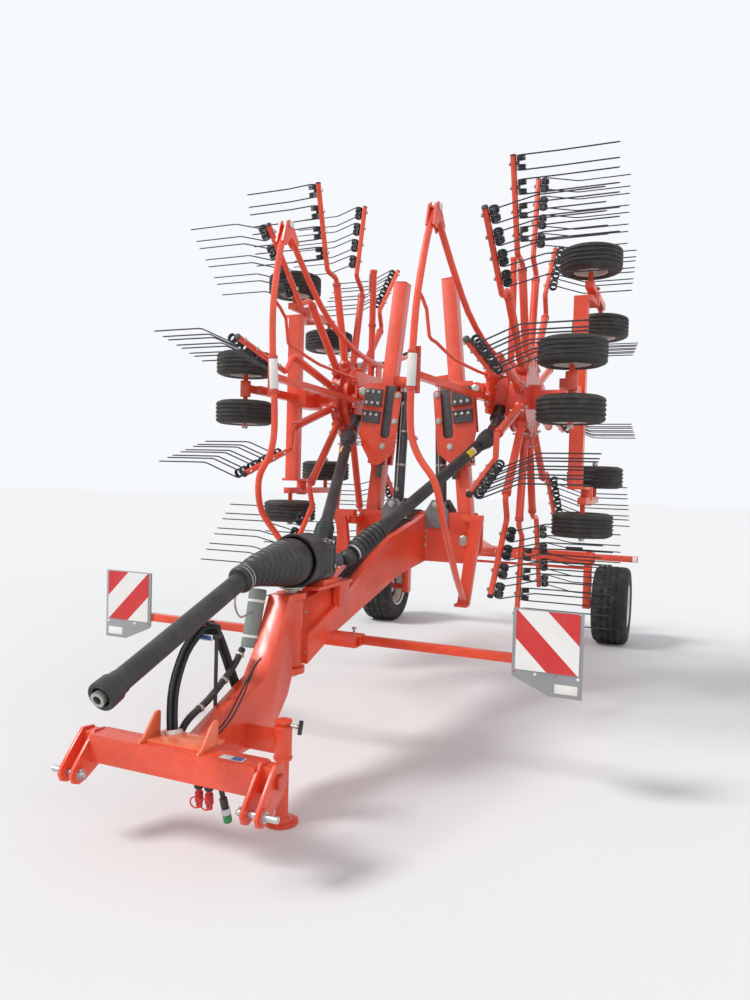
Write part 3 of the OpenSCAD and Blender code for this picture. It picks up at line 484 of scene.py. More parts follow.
# Small parts shared by all pieces: an M16 head, its washer and a grease nipple
def boltParts():
    head = turned([(0.0, 0.0135), (0.0085, 0.0135), (0.01, 0.0118)], 6, 30)
    washer = turned([(0.0, 0.0165), (0.0022, 0.0165), (0.0028, 0.0158)], 20, 30)
    nipple = turned([(0.0, 0.006), (0.006, 0.006), (0.008, 0.0035), (0.014, 0.0045), (0.017, 0.003)], 10)
    return head, washer, nipple


boltHead, washerShape, greaser = boltParts()

# Hoses: one bundle from the neck over the rack and down to the crossbar
hoseRoute = [(-0.073, -2.08, 0.52), (-0.078, -2.13, 0.61), (-0.095, -2.205, 0.785), (-0.105, -2.262, 0.873),
    (-0.112, -2.302, 0.88), (-0.119, -2.345, 0.873), (-0.128, -2.44, 0.79), (-0.122, -2.52, 0.65),
    (-0.095, -2.565, 0.52), (-0.073, -2.58, 0.43), (-0.073, -2.585, 0.39)]
bundle = {"hose_main": (0.0, 0.0, 0.024), "hose_beside": (-0.0225, 0.0, 0.018),
    "hose_above": (-0.01, 0.022, 0.016), "hose_below": (-0.012, -0.022, 0.016),
    "lamp_cable": (-0.029, 0.017, 0.009)}


# a route that runs beside another: across along X, and outward in the plane of the bend
def beside(points, across, outward):
    made = []
    for i, spot in enumerate(points):
        ahead = (points[min(i + 1, len(points) - 1)] - points[max(i - 1, 0)]).normalized()
        out = Vector((1, 0, 0)).cross(ahead).normalized()
        made.append(spot + Vector((across, 0, 0)) - out * outward)
    return made


def makeHoses():
    route = routed(hoseRoute, 3)
    for name, (across, outward, width) in bundle.items():
        path = beside(route, across, outward)
        hose = joined([(swept(path, width / 2, 12), here)], name)
        settle(hose, name, "rubber", "headstock", ["hoses"])
        length = sum((b - a).length for a, b in zip(path, path[1:]))
    socket = block(0.074, 0.04, 0.058, 0.006)
    single([(socket, stand((-0.088, -2.605, 0.372))), (socket,
        stand((-0.098, -2.065, 0.495), (0, 0.5, 1)))], "hose_sockets", "black", "headstock")


makeHoses()
print("hoses laid")


# CAD plates and box sections with their edges rounded
softened = {
    "main_frame": 0.004, "headstock": 0.004, "cylinder_brackets": 0.002, "parking_stand": 0.002,
    "lift_arm_left": 0.007, "lift_arm_right": 0.007, "carriage_left": 0.003, "carriage_right": 0.003,
    "rotor_head_left": 0.004, "rotor_head_right": 0.004, "undercarriage_left": 0.005,
    "undercarriage_right": 0.005, "knuckle_left": 0.004, "knuckle_right": 0.004, "board_arm_left": 0.003,
    "board_arm_right": 0.003, "guard_rests": 0.003,
}


def softenNodes():
    owner = {node: body for body, held in frame["record"]["behaviour"]["bodies"].items() for node in held}
    for nodeName, width in softened.items():
        copy = nodes[nodeName].copy()
        copy.data = nodes[nodeName].data.copy()
        bpy.context.collection.objects.link(copy)
        pickOnly(copy)
        bpy.ops.object.mode_set(mode="EDIT")
        bpy.ops.mesh.select_all(action="SELECT")
        bpy.ops.mesh.remove_doubles(threshold=0.00002)
        bpy.ops.mesh.dissolve_limited(angle_limit=math.radians(1.0))
        bpy.ops.object.mode_set(mode="OBJECT")
        softenEdges(copy, width)
        shaded(copy, 32)
        settle(copy, "edged_" + nodeName, nodePaint[nodeName], owner[nodeName], [nodeName])
        if nodeName.startswith("board_arm"):
            copy.data.materials.append(paints["sheet"])
            for face in copy.data.polygons:
                face.material_index = int(abs(face.center.x) > 1.14 and face.center.y < -1.466)


softenNodes()
print("edges rounded:", len(softened))

# Double tines: two coils on one wire, bent once, bolted to the arm between the coils
rotorPlace = {"at": (0.76, 0.55, 2.26), "arms": 12, "start": {"left": 20.5, "right": 17.5}, "step": 0.145,
    "end": 1.704}
tine = {"wire": 0.00475, "coil": 0.02725, "inner": 0.011, "outer": 0.047, "turns": 3, "leave": 22.0,
    "reach": 0.63, "knee": (-0.0725, 0.2394), "pitch": 0.152, "first": 1.197, "count": 4, "lift": 0.0532}


def armPlace(side, k):
    angle = rotorPlace["start"][side] + 360.0 / rotorPlace["arms"] * k
    c, s = math.cos(math.radians(angle)), math.sin(math.radians(angle))
    turn = Matrix(((0, 0, 1, 0), (c, -s, 0, 0), (s, c, 0, 0), (0, 0, 0, 1)))
    return Matrix.Translation(rotorPlace["at"]) @ turn


def tineHalf(sign):
    low, high = math.radians(-90 - 360 * tine["turns"]), math.radians(tine["leave"])
    count = 9 * tine["turns"] + 3
    coil = []
    for k in range(count + 1):
        angle = low + (high - low) * k / count
        along = tine["inner"] + (tine["outer"] - tine["inner"]) * k / count
        coil.append((sign * along, tine["coil"] * math.cos(angle), tine["coil"] * math.sin(angle)))
    knee, x = tine["knee"], sign * tine["outer"]
    away = [(x, knee[0] + 0.008, knee[1] - 0.019), (x, knee[0] + 0.001, knee[1]),
        (x, knee[0] - 0.002, knee[1] + 0.022), (x, knee[0] - 0.003, 0.45),
        (x, knee[0] - 0.003, tine["reach"] - 0.014), (x, knee[0] - 0.003, tine["reach"])]
    return coil + away


def makeTines():
    out, back = tineHalf(1), tineHalf(-1)
    route = list(reversed(out)) + back
    radii = [tine["wire"]] * len(route)
    radii[0] = radii[-1] = tine["wire"] * 0.55
    wire = swept(route, tine["wire"], 6, radii)
    bolt = joined([(washerShape, stand((0, 0, -0.0235))), (boltHead, stand((0, 0, -0.022))),
        (boltHead, stand((0, 0, -0.0747), (0, 0, -1)))])
    for side, flip in sides:
        spots = [flip @ armPlace(side, k) @ moved(tine["first"] + p * tine["pitch"], rotorPlace["step"],
            tine["lift"]) for k in range(rotorPlace["arms"]) for p in range(tine["count"])]
        single([(wire, spot) for spot in spots], "double_tines_" + side, "tine", "rotor_" + side,
            ["tines_" + side])
        single([(bolt, spot) for spot in spots], "tine_bolts_" + side, "zinc", "rotor_" + side)


makeTines()
print("tines wound")

# Rotor: sockets, arm caps, dished crown and cam housing
crown = {"face": 0.6602, "boltFace": 0.6475, "bolts": 12, "boltRing": 0.215, "pin": 0.385, "collar": 0.295}


def makeRotorTrim():
    socket = turned([(0.235, 0.046), (0.238, 0.048), (0.318, 0.048), (0.323, 0.044), (0.335, 0.0325),
        (0.337, 0.031)], 20)
    lip = turned([(0.93, 0.0315), (0.932, 0.0335), (0.958, 0.0335), (0.9635, 0.029)], 20)
    collarBolt = joined([(boltHead, stand((crown["collar"], 0, 0.047))),
        (washerShape, stand((crown["collar"], 0, 0.0465)))])
    pinBody = turned([(-0.05, 0.007), (-0.046, 0.008), (0.05, 0.008), (0.052, 0.006)], 12)
    pinRing = swept([(0.0, 0.018 * c, 0.018 * s - 0.018) for c, s in around(14)], 0.0016, 6, closed=True)
    endCap = turned([(-0.004, 0.0212), (0.004, 0.0212), (0.007, 0.017), (0.0085, 0.008)], 16)
    dish = turned([(0.0, 0.265), (0.004, 0.268), (0.01, 0.262), (0.012, 0.2), (0.0125, 0.17),
        (0.006, 0.165)], 48)
    band = turned([(-0.043, 0.2835), (-0.04, 0.286), (-0.032, 0.286), (-0.029, 0.2825), (0.029, 0.2825),
        (0.032, 0.286), (0.04, 0.286), (0.043, 0.2835)], 72)
    at = Vector(rotorPlace["at"])
    along = stand((0, 0, 0), (1, 0, 0))
    far = crown["boltRing"]
    ring = [(crown["boltFace"], at.y + far * c, at.z + far * s) for c, s in around(crown["bolts"])]
    for side, flip in sides:
        arms = [flip @ armPlace(side, k) for k in range(rotorPlace["arms"])]
        rotor = "rotor_" + side
        single([(shape, arm @ along) for shape in (socket, lip) for arm in arms]
            + [(band, flip @ stand(at, (1, 0, 0)))], "arm_sockets_" + side, "paintedShadeOrange", rotor)
        single([(pinBody, arm @ moved(crown["pin"], 0, 0)) for arm in arms]
            + [(collarBolt, arm) for arm in arms] + [(pinRing,
            arm @ moved(crown["pin"], 0, 0.05) @ Matrix.Rotation(0.5, 4, "X")) for arm in arms],
            "arm_pins_" + side, "zinc", rotor)
        single([(endCap, arm @ moved(0, rotorPlace["step"], 0) @ stand((rotorPlace["end"], 0, 0),
            (1, 0, 0))) for arm in arms], "arm_caps_" + side, "black", rotor)
        single([(dish, flip @ stand((crown["face"], at.y, at.z), (-1, 0, 0)))], "rotor_crown_" + side,
            "orange", rotor)
        single([(boltHead, flip @ stand(spot, (-1, 0, 0))) for spot in ring], "crown_bolts_" + side, "zinc",
            rotor)


makeRotorTrim()
print("rotors dressed")

# Rotor wheels: grooved tyre, dished rim, hub and nuts
rotorWheel = {"radius": 0.22, "half": 0.09, "x": 1.22, "z": 2.26, "nuts": 5, "nutRing": 0.078,
    "seats": {"twin_wheels": ((-0.33, 0.183), (-0.33, -0.183)), "outer_front_wheel": ((0.4, 0.955),),
    "outer_rear_wheel": ((1.06, 0.6),), "inner_front_wheel": ((0.4, -0.955),),
    "inner_rear_wheel": ((1.06, -0.6),)}}


def makeRotorWheels():
    r, h = rotorWheel["radius"], rotorWheel["half"]
    stations = [(-0.01, 0.112), (-0.074, 0.116), (-0.082, 0.122), (-h, 0.146), (-h + 0.002, 0.18),
        (-h + 0.014, r - 0.012), (-0.066, r - 0.003)]
    for middle in (-0.045, -0.015, 0.015, 0.045):
        stations += [(middle - 0.0085, r), (middle - 0.004, r - 0.0075), (middle + 0.004, r - 0.0075),
            (middle + 0.0085, r)]
    stations += [(0.066, r - 0.003), (h - 0.014, r - 0.012), (h - 0.002, 0.18), (h, 0.146), (0.082, 0.122),
        (0.074, 0.116), (0.01, 0.112)]
    tyreShape = turned(stations, 56, 24)
    dish = turned([(0.0, 0.1135), (0.068, 0.1165), (0.0775, 0.125), (0.0815, 0.124), (0.0725, 0.108),
        (0.022, 0.101), (0.016, 0.092), (0.018, 0.056), (0.03, 0.052), (0.056, 0.048), (0.06, 0.044),
        (0.061, 0.022)], 40)
    nut = joined([(boltHead, stand((rotorWheel["nutRing"], 0, 0.017)))])
    hubCap = turned([(0.058, 0.03), (0.066, 0.03), (0.074, 0.025), (0.078, 0.012)], 24)
    for side, flip in sides:
        for stem, seats in rotorWheel["seats"].items():
            spots = [flip @ moved(rotorWheel["x"], y, rotorWheel["z"] + u) for y, u in seats]
            faces = [spot @ flat for spot in spots for flat in (here, Matrix.Rotation(math.pi, 4, "X"))]
            name = stem + "_" + side
            single([(tyreShape, spot) for spot in spots], name + "_tyre", "rotorTyre", name, [name])
            single([(dish, face) for face in faces], name + "_rim", "rim", name)
            single([(nut, face @ turn) for face in faces for turn in spun(rotorWheel["nuts"])]
                + [(hubCap, face) for face in faces], name + "_nuts", "zinc", name)


makeRotorWheels()
print("rotor wheels dressed")

# Transport wheels: tyre with zigzag grooves and shoulder notches, rim with hub and nuts
roadWheel = {"x": 1.24, "y": 2.7, "z": 0.3875, "radius": 0.3875, "half": 0.17, "rim": 0.2025, "around": 120,
    "grooves": (-0.062, 0.0, 0.062), "zigzag": 0.007, "notchEvery": 6, "nuts": 6, "nutRing": 0.105}


def makeRoadTyre():
    r, h, rim = roadWheel["radius"], roadWheel["half"], roadWheel["rim"]
    stations = [(-0.06, rim - 0.02), (-0.14, rim - 0.012), (-0.15, rim + 0.004), (-h * 0.94, rim + 0.02),
        (-h, rim + 0.07), (-h, rim + 0.105), (-h + 0.004, 0.345), (-h + 0.012, 0.362),
        (-h + 0.034, r - 0.006)]
    for middle in roadWheel["grooves"]:
        stations += [(middle - 0.014, r), (middle - 0.008, r - 0.0105), (middle + 0.008, r - 0.0105),
            (middle + 0.014, r)]
    stations += [(h - 0.034, r - 0.006), (h - 0.012, 0.362), (h - 0.004, 0.345), (h, rim + 0.105),
        (h, rim + 0.07), (h * 0.94, rim + 0.02), (0.15, rim + 0.004), (0.14, rim - 0.012),
        (0.06, rim - 0.02)]
    tyreShape = turned(stations, roadWheel["around"], 28)
    step = 2 * math.pi / roadWheel["around"]
    for vertex in tyreShape.data.vertices:
        out = math.hypot(vertex.co.x, vertex.co.y)
        spoke = int(round(math.atan2(vertex.co.y, vertex.co.x) / step)) % 4
        if out > r - 0.012 and abs(vertex.co.z) < 0.085:
            vertex.co.z += roadWheel["zigzag"] * (-1, 0, 1, 0)[spoke]
    pickOnly(tyreShape)
    for face in tyreShape.data.polygons:
        out = math.hypot(face.center.x, face.center.y)
        turn = int(math.floor(math.atan2(face.center.y, face.center.x) / step)) % roadWheel["notchEvery"]
        face.select = out > 0.352 and abs(face.center.z) > 0.09 and turn < 2 and out < r - 0.001
    bpy.ops.object.mode_set(mode="EDIT")
    bpy.ops.mesh.extrude_region_shrink_fatten(TRANSFORM_OT_shrink_fatten={"value": -0.009})
    bpy.ops.object.mode_set(mode="OBJECT")
    return shaded(tyreShape, 28)


def makeRoadWheels():
    tyreShape = makeRoadTyre()
    rim = roadWheel["rim"]
    bowl = turned([(-0.03, 0.08), (-0.03, rim - 0.034), (0.03, rim - 0.03), (0.14, rim - 0.011),
        (0.15, rim + 0.012), (0.157, rim + 0.011), (0.157, rim + 0.004), (0.146, rim - 0.02),
        (0.06, rim - 0.036), (0.022, rim - 0.046), (0.012, 0.15), (0.02, 0.128), (0.02, 0.082),
        (0.062, 0.074), (0.07, 0.068), (0.074, 0.046), (0.092, 0.044), (0.096, 0.02)], 64)
    inner = turned([(0.0, rim - 0.035), (0.11, rim - 0.014), (0.15, rim + 0.012), (0.157, rim + 0.01),
        (0.15, rim - 0.004), (0.1, rim - 0.028), (0.02, rim - 0.045), (0.012, 0.11), (0.05, 0.085),
        (0.078, 0.08), (0.08, 0.034)], 64)
    nut = joined([(boltHead, stand((roadWheel["nutRing"], 0, 0.0195)))])
    stem = turned([(0.0, 0.006), (0.03, 0.005), (0.032, 0.004)], 10)
    spot = stand((roadWheel["x"], roadWheel["y"], roadWheel["z"]), (1, 0, 0))
    back = stand((roadWheel["x"], roadWheel["y"], roadWheel["z"]), (-1, 0, 0))
    pair([(tyreShape, spot)], "road_tyre", "tyre", "wheel", ["tyre"])
    pair([(bowl, spot), (inner, back)], "road_rim", "rim", "wheel", ["rim"])
    pair([(nut, spot @ turn) for turn in spun(roadWheel["nuts"])]
        + [(stem, spot @ stand((0.165, 0, 0.125), (-0.35, 0, 1)))], "road_nuts", "zinc", "wheel")


makeRoadWheels()
print("road wheels dressed")

# Front drive shaft: guard tube with its end collars, ribbed boot and the wide bell on the gearbox
bootPlace = {"ball": (0.0, -1.72, 1.15), "bend": (0.0, -2.135, 1.136), "front": (0.0, -3.126, 0.779),
    "ribs": 8, "ribStart": 0.11, "ribEnd": 0.455, "chain": [(-0.03, -2.2, 1.08), (-0.062, -2.165, 0.975),
    (-0.085, -2.08, 0.9), (-0.098, -1.965, 0.905)]}


def makeFrontShaft():
    ball, bend, front = (Vector(bootPlace[k]) for k in ("ball", "bend", "front"))
    back, ahead = (bend - ball).normalized(), (front - bend).normalized()
    straight = (bend - ball).length - 0.1

    # where the boot's middle line is, eased round the bend
    def spot(along):
        past = along - straight
        if past <= 0:
            return ball + back * along
        blend = min(1.0, past / 0.2)
        return ball + back * straight + (back * (1 - blend / 2) + ahead * (blend / 2)) * past

    ribs, ribStart, ribEnd = (bootPlace[k] for k in ("ribs", "ribStart", "ribEnd"))
    profile = [(-0.01, 0.085), (0.0, 0.124), (0.03, 0.1262), (0.07, 0.1262), (0.085, 0.1225), (0.1, 0.12)]
    for k in range(ribs):
        base = 0.118 - 0.05 * k / (ribs - 1)
        profile += [(ribStart + (ribEnd - ribStart) / ribs * (k + part), base - drop)
            for part, drop in ((0.0, 0.012), (0.18, 0.001), (0.42, 0.0), (0.62, 0.003), (0.82, 0.014))]
    profile += [(ribEnd + step, radius) for step, radius in ((0.004, 0.062), (0.012, 0.066), (0.05, 0.066),
        (0.058, 0.058), (0.062, 0.05), (0.064, 0.046))]
    boot = swept([spot(along) for along, radius in profile], 0.12, 40,
        [radius for along, radius in profile], angle=30)
    single([(boot, here)], "shaft_boot", "boot", "headstock", ["pto_guard"])
    start = spot(ribEnd + 0.03)
    length = (front - start).length
    tube = turned([(0.0, 0.0452), (length - 0.11, 0.0452), (length - 0.108, 0.049), (length - 0.08, 0.05),
        (length - 0.07, 0.058), (length - 0.012, 0.06), (length - 0.004, 0.058), (length, 0.052),
        (length - 0.004, 0.04), (length - 0.06, 0.033)], 36)
    single([(tube, stand(start, front - start))], "shaft_guard_tube", "boot", "headstock", ["pto_guard"])
    clip = turned([(-0.003, 0.066), (-0.003, 0.0672), (0.003, 0.0672), (0.003, 0.066)], 36)
    single([(clip, stand(spot(ribEnd + 0.02), back + ahead)),
        (clip, stand(spot(ribEnd + 0.042), back + ahead))], "boot_clips", "zinc", "headstock")
    # chain that keeps the guard from turning
    links = []
    route = routed(bootPlace["chain"], 8)
    link = swept(oval(0.0045, 0.0105, 10), 0.0014, 6, closed=True)
    for k in range(len(route) - 1):
        gap = route[k + 1] - route[k]
        for half in range(2):
            links.append((link, stand(route[k] + gap * (half / 2), gap, 90 * ((2 * k + half) % 2))))
    single(links, "guard_chain", "zinc", "headstock")


makeFrontShaft()

gearCase = {"bell": (0.0, -1.535, 1.15), "middle": (0.0, -1.432, 1.131), "top": 1.226,
    "front": (0.0, -1.512, 1.15), "outlet": (0.1, -1.23, 1.135), "outletDir": (0.53, 0.73, 0.17),
    "bolts": 6, "boltRing": 0.07}


def makeGearboxTrim():
    cover = turned([(0.0, 0.08), (0.001, 0.138), (0.012, 0.144), (0.02, 0.144), (0.026, 0.14),
        (0.15, 0.1405), (0.156, 0.146), (0.17, 0.147), (0.176, 0.144), (0.174, 0.133), (0.15, 0.1315),
        (0.03, 0.1315), (0.025, 0.06)], 64)
    at, middle = Vector(gearCase["bell"]), Vector(gearCase["middle"])
    single([(cover, stand(at, (0, -1, 0)))], "gearbox_bell", "boot", "frame", ["gearbox_guards"])
    neckTube = turned([(-0.02, 0.036), (0.07, 0.036), (0.072, 0.03)], 24)
    single([(neckTube, stand(at, (0, -1, 0)))], "gearbox_input", "zinc", "frame")
    case = block(0.172, 0.166, 0.196, 0.022)
    rib = block(0.186, 0.014, 0.15, 0.004)
    cap = turned([(0.0, 0.088), (0.006, 0.09), (0.014, 0.088), (0.016, 0.066), (0.026, 0.062),
        (0.028, 0.03)], 40)
    flange = turned([(0.0, 0.062), (0.01, 0.062), (0.014, 0.058), (0.016, 0.046), (0.06, 0.044)], 32)
    tall = turned([(0.0, 0.04), (0.158, 0.038), (0.1595, 0.034)], 28)
    out, start = Vector(gearCase["outletDir"]).normalized(), Vector(gearCase["outlet"])
    parts = [(case, stand(middle))] + [(rib, stand(middle + Vector((0, dy, 0))))
        for dy in (-0.055, 0.0, 0.055)]
    parts += [(cap, stand((0, middle.y, gearCase["top"]))), (cap, stand(gearCase["front"], (0, -1, 0)))]
    for side, flip in sides:
        parts += [(flange, flip @ stand(start - out * 0.207, out)),
            (tall, flip @ stand(start - out * 0.21, out))]
    single(parts, "gearbox_case", "darkGrey", "frame", ["gearbox"])
    far, high = gearCase["boltRing"], gearCase["top"] + 0.0125
    bolts = [(boltHead, stand((far * c, middle.y + far * s, high)))
        for c, s in around(gearCase["bolts"], 0.5)]
    plug = turned([(0.0, 0.01), (0.012, 0.01), (0.014, 0.007)], 6)
    bolts += [(plug, stand((0.091, -1.4, 1.1), (1, 0, 0))), (plug, stand((-0.091, -1.4, 1.1), (-1, 0, 0))),
        (plug, stand((0.03, -1.38, 1.24)))]
    single(bolts, "gearbox_bolts", "zinc", "frame")


makeGearboxTrim()
print("front shaft and gearbox dressed")

# Rotor drive shafts: bellows, sliding guard tubes, blank yellow label, flared end cone
driveShaft = {"start": (0.1, -1.23, 1.135), "end": (0.58, 0.2, 1.95), "folds": 7, "foldPitch": 0.037,
    "label": 0.0404, "labels": (("shaft_label", "yellow", 1.335, 1.405),
    ("shaft_label_end", "white", 1.405, 1.425))}


def makeDriveShafts():
    start, end = Vector(driveShaft["start"]), Vector(driveShaft["end"])
    away = (end - start).normalized()
    length = (end - start).length
    profile = [(0.046, 0.04), (0.048, 0.05), (0.064, 0.05), (0.066, 0.046)]
    for k in range(driveShaft["folds"]):
        base = 0.068 - 0.0012 * k
        profile += [(0.07 + driveShaft["foldPitch"] * (k + part), base - drop)
            for part, drop in ((0.05, 0.017), (0.25, 0.004), (0.45, 0.0), (0.62, 0.003), (0.88, 0.016))]
    profile += [(0.335, 0.046), (0.345, 0.048), (0.372, 0.047), (0.376, 0.041)]
    bellows = swept([(0, 0, along) for along, radius in profile], 0.06, 36,
        [radius for along, radius in profile], angle=32)
    tube = turned([(0.32, 0.0398), (1.44, 0.0402), (1.442, 0.044), (1.492, 0.0445), (1.498, 0.0405),
        (1.499, 0.03)], 36)
    clamp = turned([(-0.006, 0.05), (-0.006, 0.0518), (0.006, 0.0518), (0.006, 0.05)], 32)
    coneLine = [(1.4, 0.0285), (1.508, 0.0285), (1.51, 0.04), (1.53, 0.044), (1.534, 0.047), (1.548, 0.048),
        (1.552, 0.047), (1.575, 0.056), (1.6, 0.06), (1.606, 0.063), (1.64, 0.0655), (1.676, 0.0665),
        (length - 0.03, 0.064), (length - 0.028, 0.05)]
    cone = turned(coneLine, 40)
    ball = turned([(-0.04, 0.022), (-0.034, 0.034), (-0.02, 0.046), (0.0, 0.0495), (0.02, 0.046),
        (0.034, 0.034), (0.04, 0.022)], 28)
    seat = stand(start, away)
    pair([(bellows, seat)], "shaft_bellows", "boot", "shaft_outer", ["shaft_outer"])
    pair([(tube, seat)], "shaft_tube", "black", "shaft_outer", ["shaft_outer"])
    pair([(clamp, seat @ moved(0, 0, 0.056))], "bellows_clamp", "steel", "shaft_outer")
    pair([(cone, seat), (ball, stand(end, away))], "shaft_cone", "boot", "shaft_inner", ["shaft_inner"])
    for name, paint, low, high in driveShaft["labels"]:
        pair([(wrapLabel(driveShaft["label"], low, high, 75),
            seat @ Matrix.Rotation(math.radians(150), 4, "Z"))], name, paint, "shaft_outer")


# a thin sheet wrapped round part of a tube
def wrapLabel(radius, low, high, span):
    pickOnly()
    bpy.ops.mesh.primitive_grid_add(x_subdivisions=14, y_subdivisions=2, size=1.0, location=(0, 0, 0))
    piece = bpy.context.object
    for vertex in piece.data.vertices:
        turn = math.radians(span) * vertex.co.x
        vertex.co = (radius * math.cos(turn), radius * math.sin(turn),
            low + (high - low) * (vertex.co.y + 0.5))
    thick = piece.modifiers.new("thick", "SOLIDIFY")
    thick.thickness = 0.0008
    thick.offset = 1.0
    bpy.ops.object.modifier_apply(modifier=thick.name)
    templates.append(piece)
    return shaded(piece, 40)


makeDriveShafts()
print("drive shafts dressed")

# Hose rack, conduit, leads and couplings
hoseTrim = {"rackY": -2.3, "tie": (-0.098, -2.572, 0.47), "clips": (8, 22, 36, 50),
    "conduit": [(-0.073, -2.59, 0.415), (-0.08, -2.5, 0.5), (-0.08, -2.33, 0.56), (-0.08, -2.15, 0.66),
    (-0.08, -2.06, 0.74)], "leads": ((0.0, 0.462), (0.02, 0.468))}


def makeHoseTrim():
    y = hoseTrim["rackY"]
    leg = turned([(0.0, 0.009), (0.33, 0.009), (0.332, 0.007)], 14)
    base = block(0.022, 0.03, 0.065, 0.003)
    top = block(0.12, 0.056, 0.02, 0.008)
    hook = swept(routed([(-0.055, 0, 0.0), (-0.062, 0, 0.03), (-0.05, 0, 0.05), (0.04, 0, 0.05),
        (0.056, 0, 0.03), (0.052, 0, 0.0)], 5), 0.0045, 8)
    single([(leg, stand((-0.0705, y, 0.5))), (base, stand((-0.0715, y, 0.4725))),
        (top, stand((-0.115, y, 0.8425))), (hook, stand((-0.114, y, 0.851)))], "hose_holder", "black",
        "headstock", ["hose_rack"])
    plateShape = block(0.092, 0.003, 0.03, 0.001)
    inset = block(0.076, 0.0012, 0.019, 0.0004)
    single([(plateShape, stand((-0.116, y - 0.032, 0.842)))], "holder_plate", "white", "headstock")
    single([(inset, stand((-0.116, y - 0.0342, 0.842)))], "holder_plate_blue", "blue", "headstock")
    tie = turned([(-0.009, 0.038), (-0.01, 0.04), (0.01, 0.04), (0.009, 0.038)], 20)
    along = (Vector(hoseRoute[9]) - Vector(hoseRoute[8])).normalized()
    single([(tie, stand(hoseTrim["tie"], along))], "hose_tie", "white", "headstock")
    # corrugated conduit from the sockets up the neck
    lane = routed(hoseTrim["conduit"], 14)
    fine = [lane[i] + (lane[i + 1] - lane[i]) * (k / 4) for i in range(len(lane) - 1) for k in range(4)]
    radii = [0.0175, 0.0175, 0.014, 0.014] * (len(lane) - 1)
    conduit = swept(fine, 0.0175, 10, radii, angle=25)
    single([(conduit, here)], "conduit", "black", "headstock")
    strap = turned([(-0.006, 0.0185), (-0.006, 0.02), (0.006, 0.02), (0.006, 0.0185)], 16)
    foot = block(0.014, 0.018, 0.024, 0.002)
    single([(strap, stand(lane[k], lane[k + 1] - lane[k])) for k in hoseTrim["clips"]]
        + [(foot, stand(lane[k] + Vector((0.014, 0, 0)))) for k in hoseTrim["clips"]], "conduit_straps",
        "zinc", "headstock")
    # thin leads that hang down beside the neck on the other side
    leads = []
    for shift, low in hoseTrim["leads"]:
        leads.append((swept(routed([(0.064, -2.12, 0.72), (0.07, -2.19, 0.69), (0.078 + shift, -2.33, 0.59),
            (0.082 + shift, -2.42, 0.52), (0.084 + shift, -2.52, 0.48), (0.1 + shift, -2.64, low)], 6),
            0.0042, 8), here))
    single(leads, "neck_leads", "rubber", "headstock")


makeHoseTrim()

coupling = {"y": -2.7, "top": 0.352, "red": (0.135, 0.185), "long": (0.24, 0.344)}


def makeCouplers():
    plug = turned([(0.0, 0.012), (0.02, 0.012), (0.021, 0.017), (0.06, 0.018), (0.062, 0.014),
        (0.085, 0.013)], 20)
    cap = turned([(0.0, 0.02), (0.022, 0.0205), (0.026, 0.017)], 20)
    handle = swept(oval(0.026, 0.022, 16), 0.0032, 6, closed=True)
    y = coupling["y"]
    reds, caps = [], []
    for x in coupling["red"]:
        reds += [(plug, stand((x, y, coupling["top"] - 0.034), (0, 0.08, -1))),
            (handle, stand((x, y - 0.022, 0.262)))]
        caps.append((cap, stand((x, y, coupling["top"] - 0.012), (0, 0.08, -1))))
    single(reds, "red_couplers", "red", "headstock")
    x, top = coupling["long"]
    lean = Vector((0.25, 0.05, -1)).normalized()
    sleeve = turned([(0.0, 0.011), (0.05, 0.011), (0.052, 0.0165), (0.09, 0.0165), (0.092, 0.012),
        (0.1, 0.012)], 20)
    steelRing = turned([(0.0, 0.014), (0.002, 0.0185), (0.026, 0.0185), (0.028, 0.014)], 20)
    tip = turned([(0.0, 0.015), (0.003, 0.018), (0.026, 0.018), (0.032, 0.014)], 20)
    start = Vector((x, y, top))
    caps.append((sleeve, stand(start, lean)))
    single(caps + [(block(0.15, 0.05, 0.012, 0.003), stand((0.188, y, 0.345)))], "coupler_caps", "black",
        "headstock")
    single([(steelRing, stand(start + lean * 0.094, lean))], "coupler_ring", "steel", "headstock")
    single([(tip, stand(start + lean * 0.121, lean))], "coupler_tip", "green", "headstock")


makeCouplers()
print("couplings hung")

# Headstock: pin bosses, linch pins, horn gussets, blank labels
hitch = {"x": 0.458, "y": -2.79, "z": 0.303, "ear": 0.04, "barY": -2.69, "barTop": 0.461,
    "horns": (-0.15, 0.15), "pivotTop": (0.0, -1.72, 1.006), "greasers": (0.66, 0.88)}
parking = {"x": 0.26, "y": -2.23, "rings": (0.305, 0.445), "lock": 0.462}


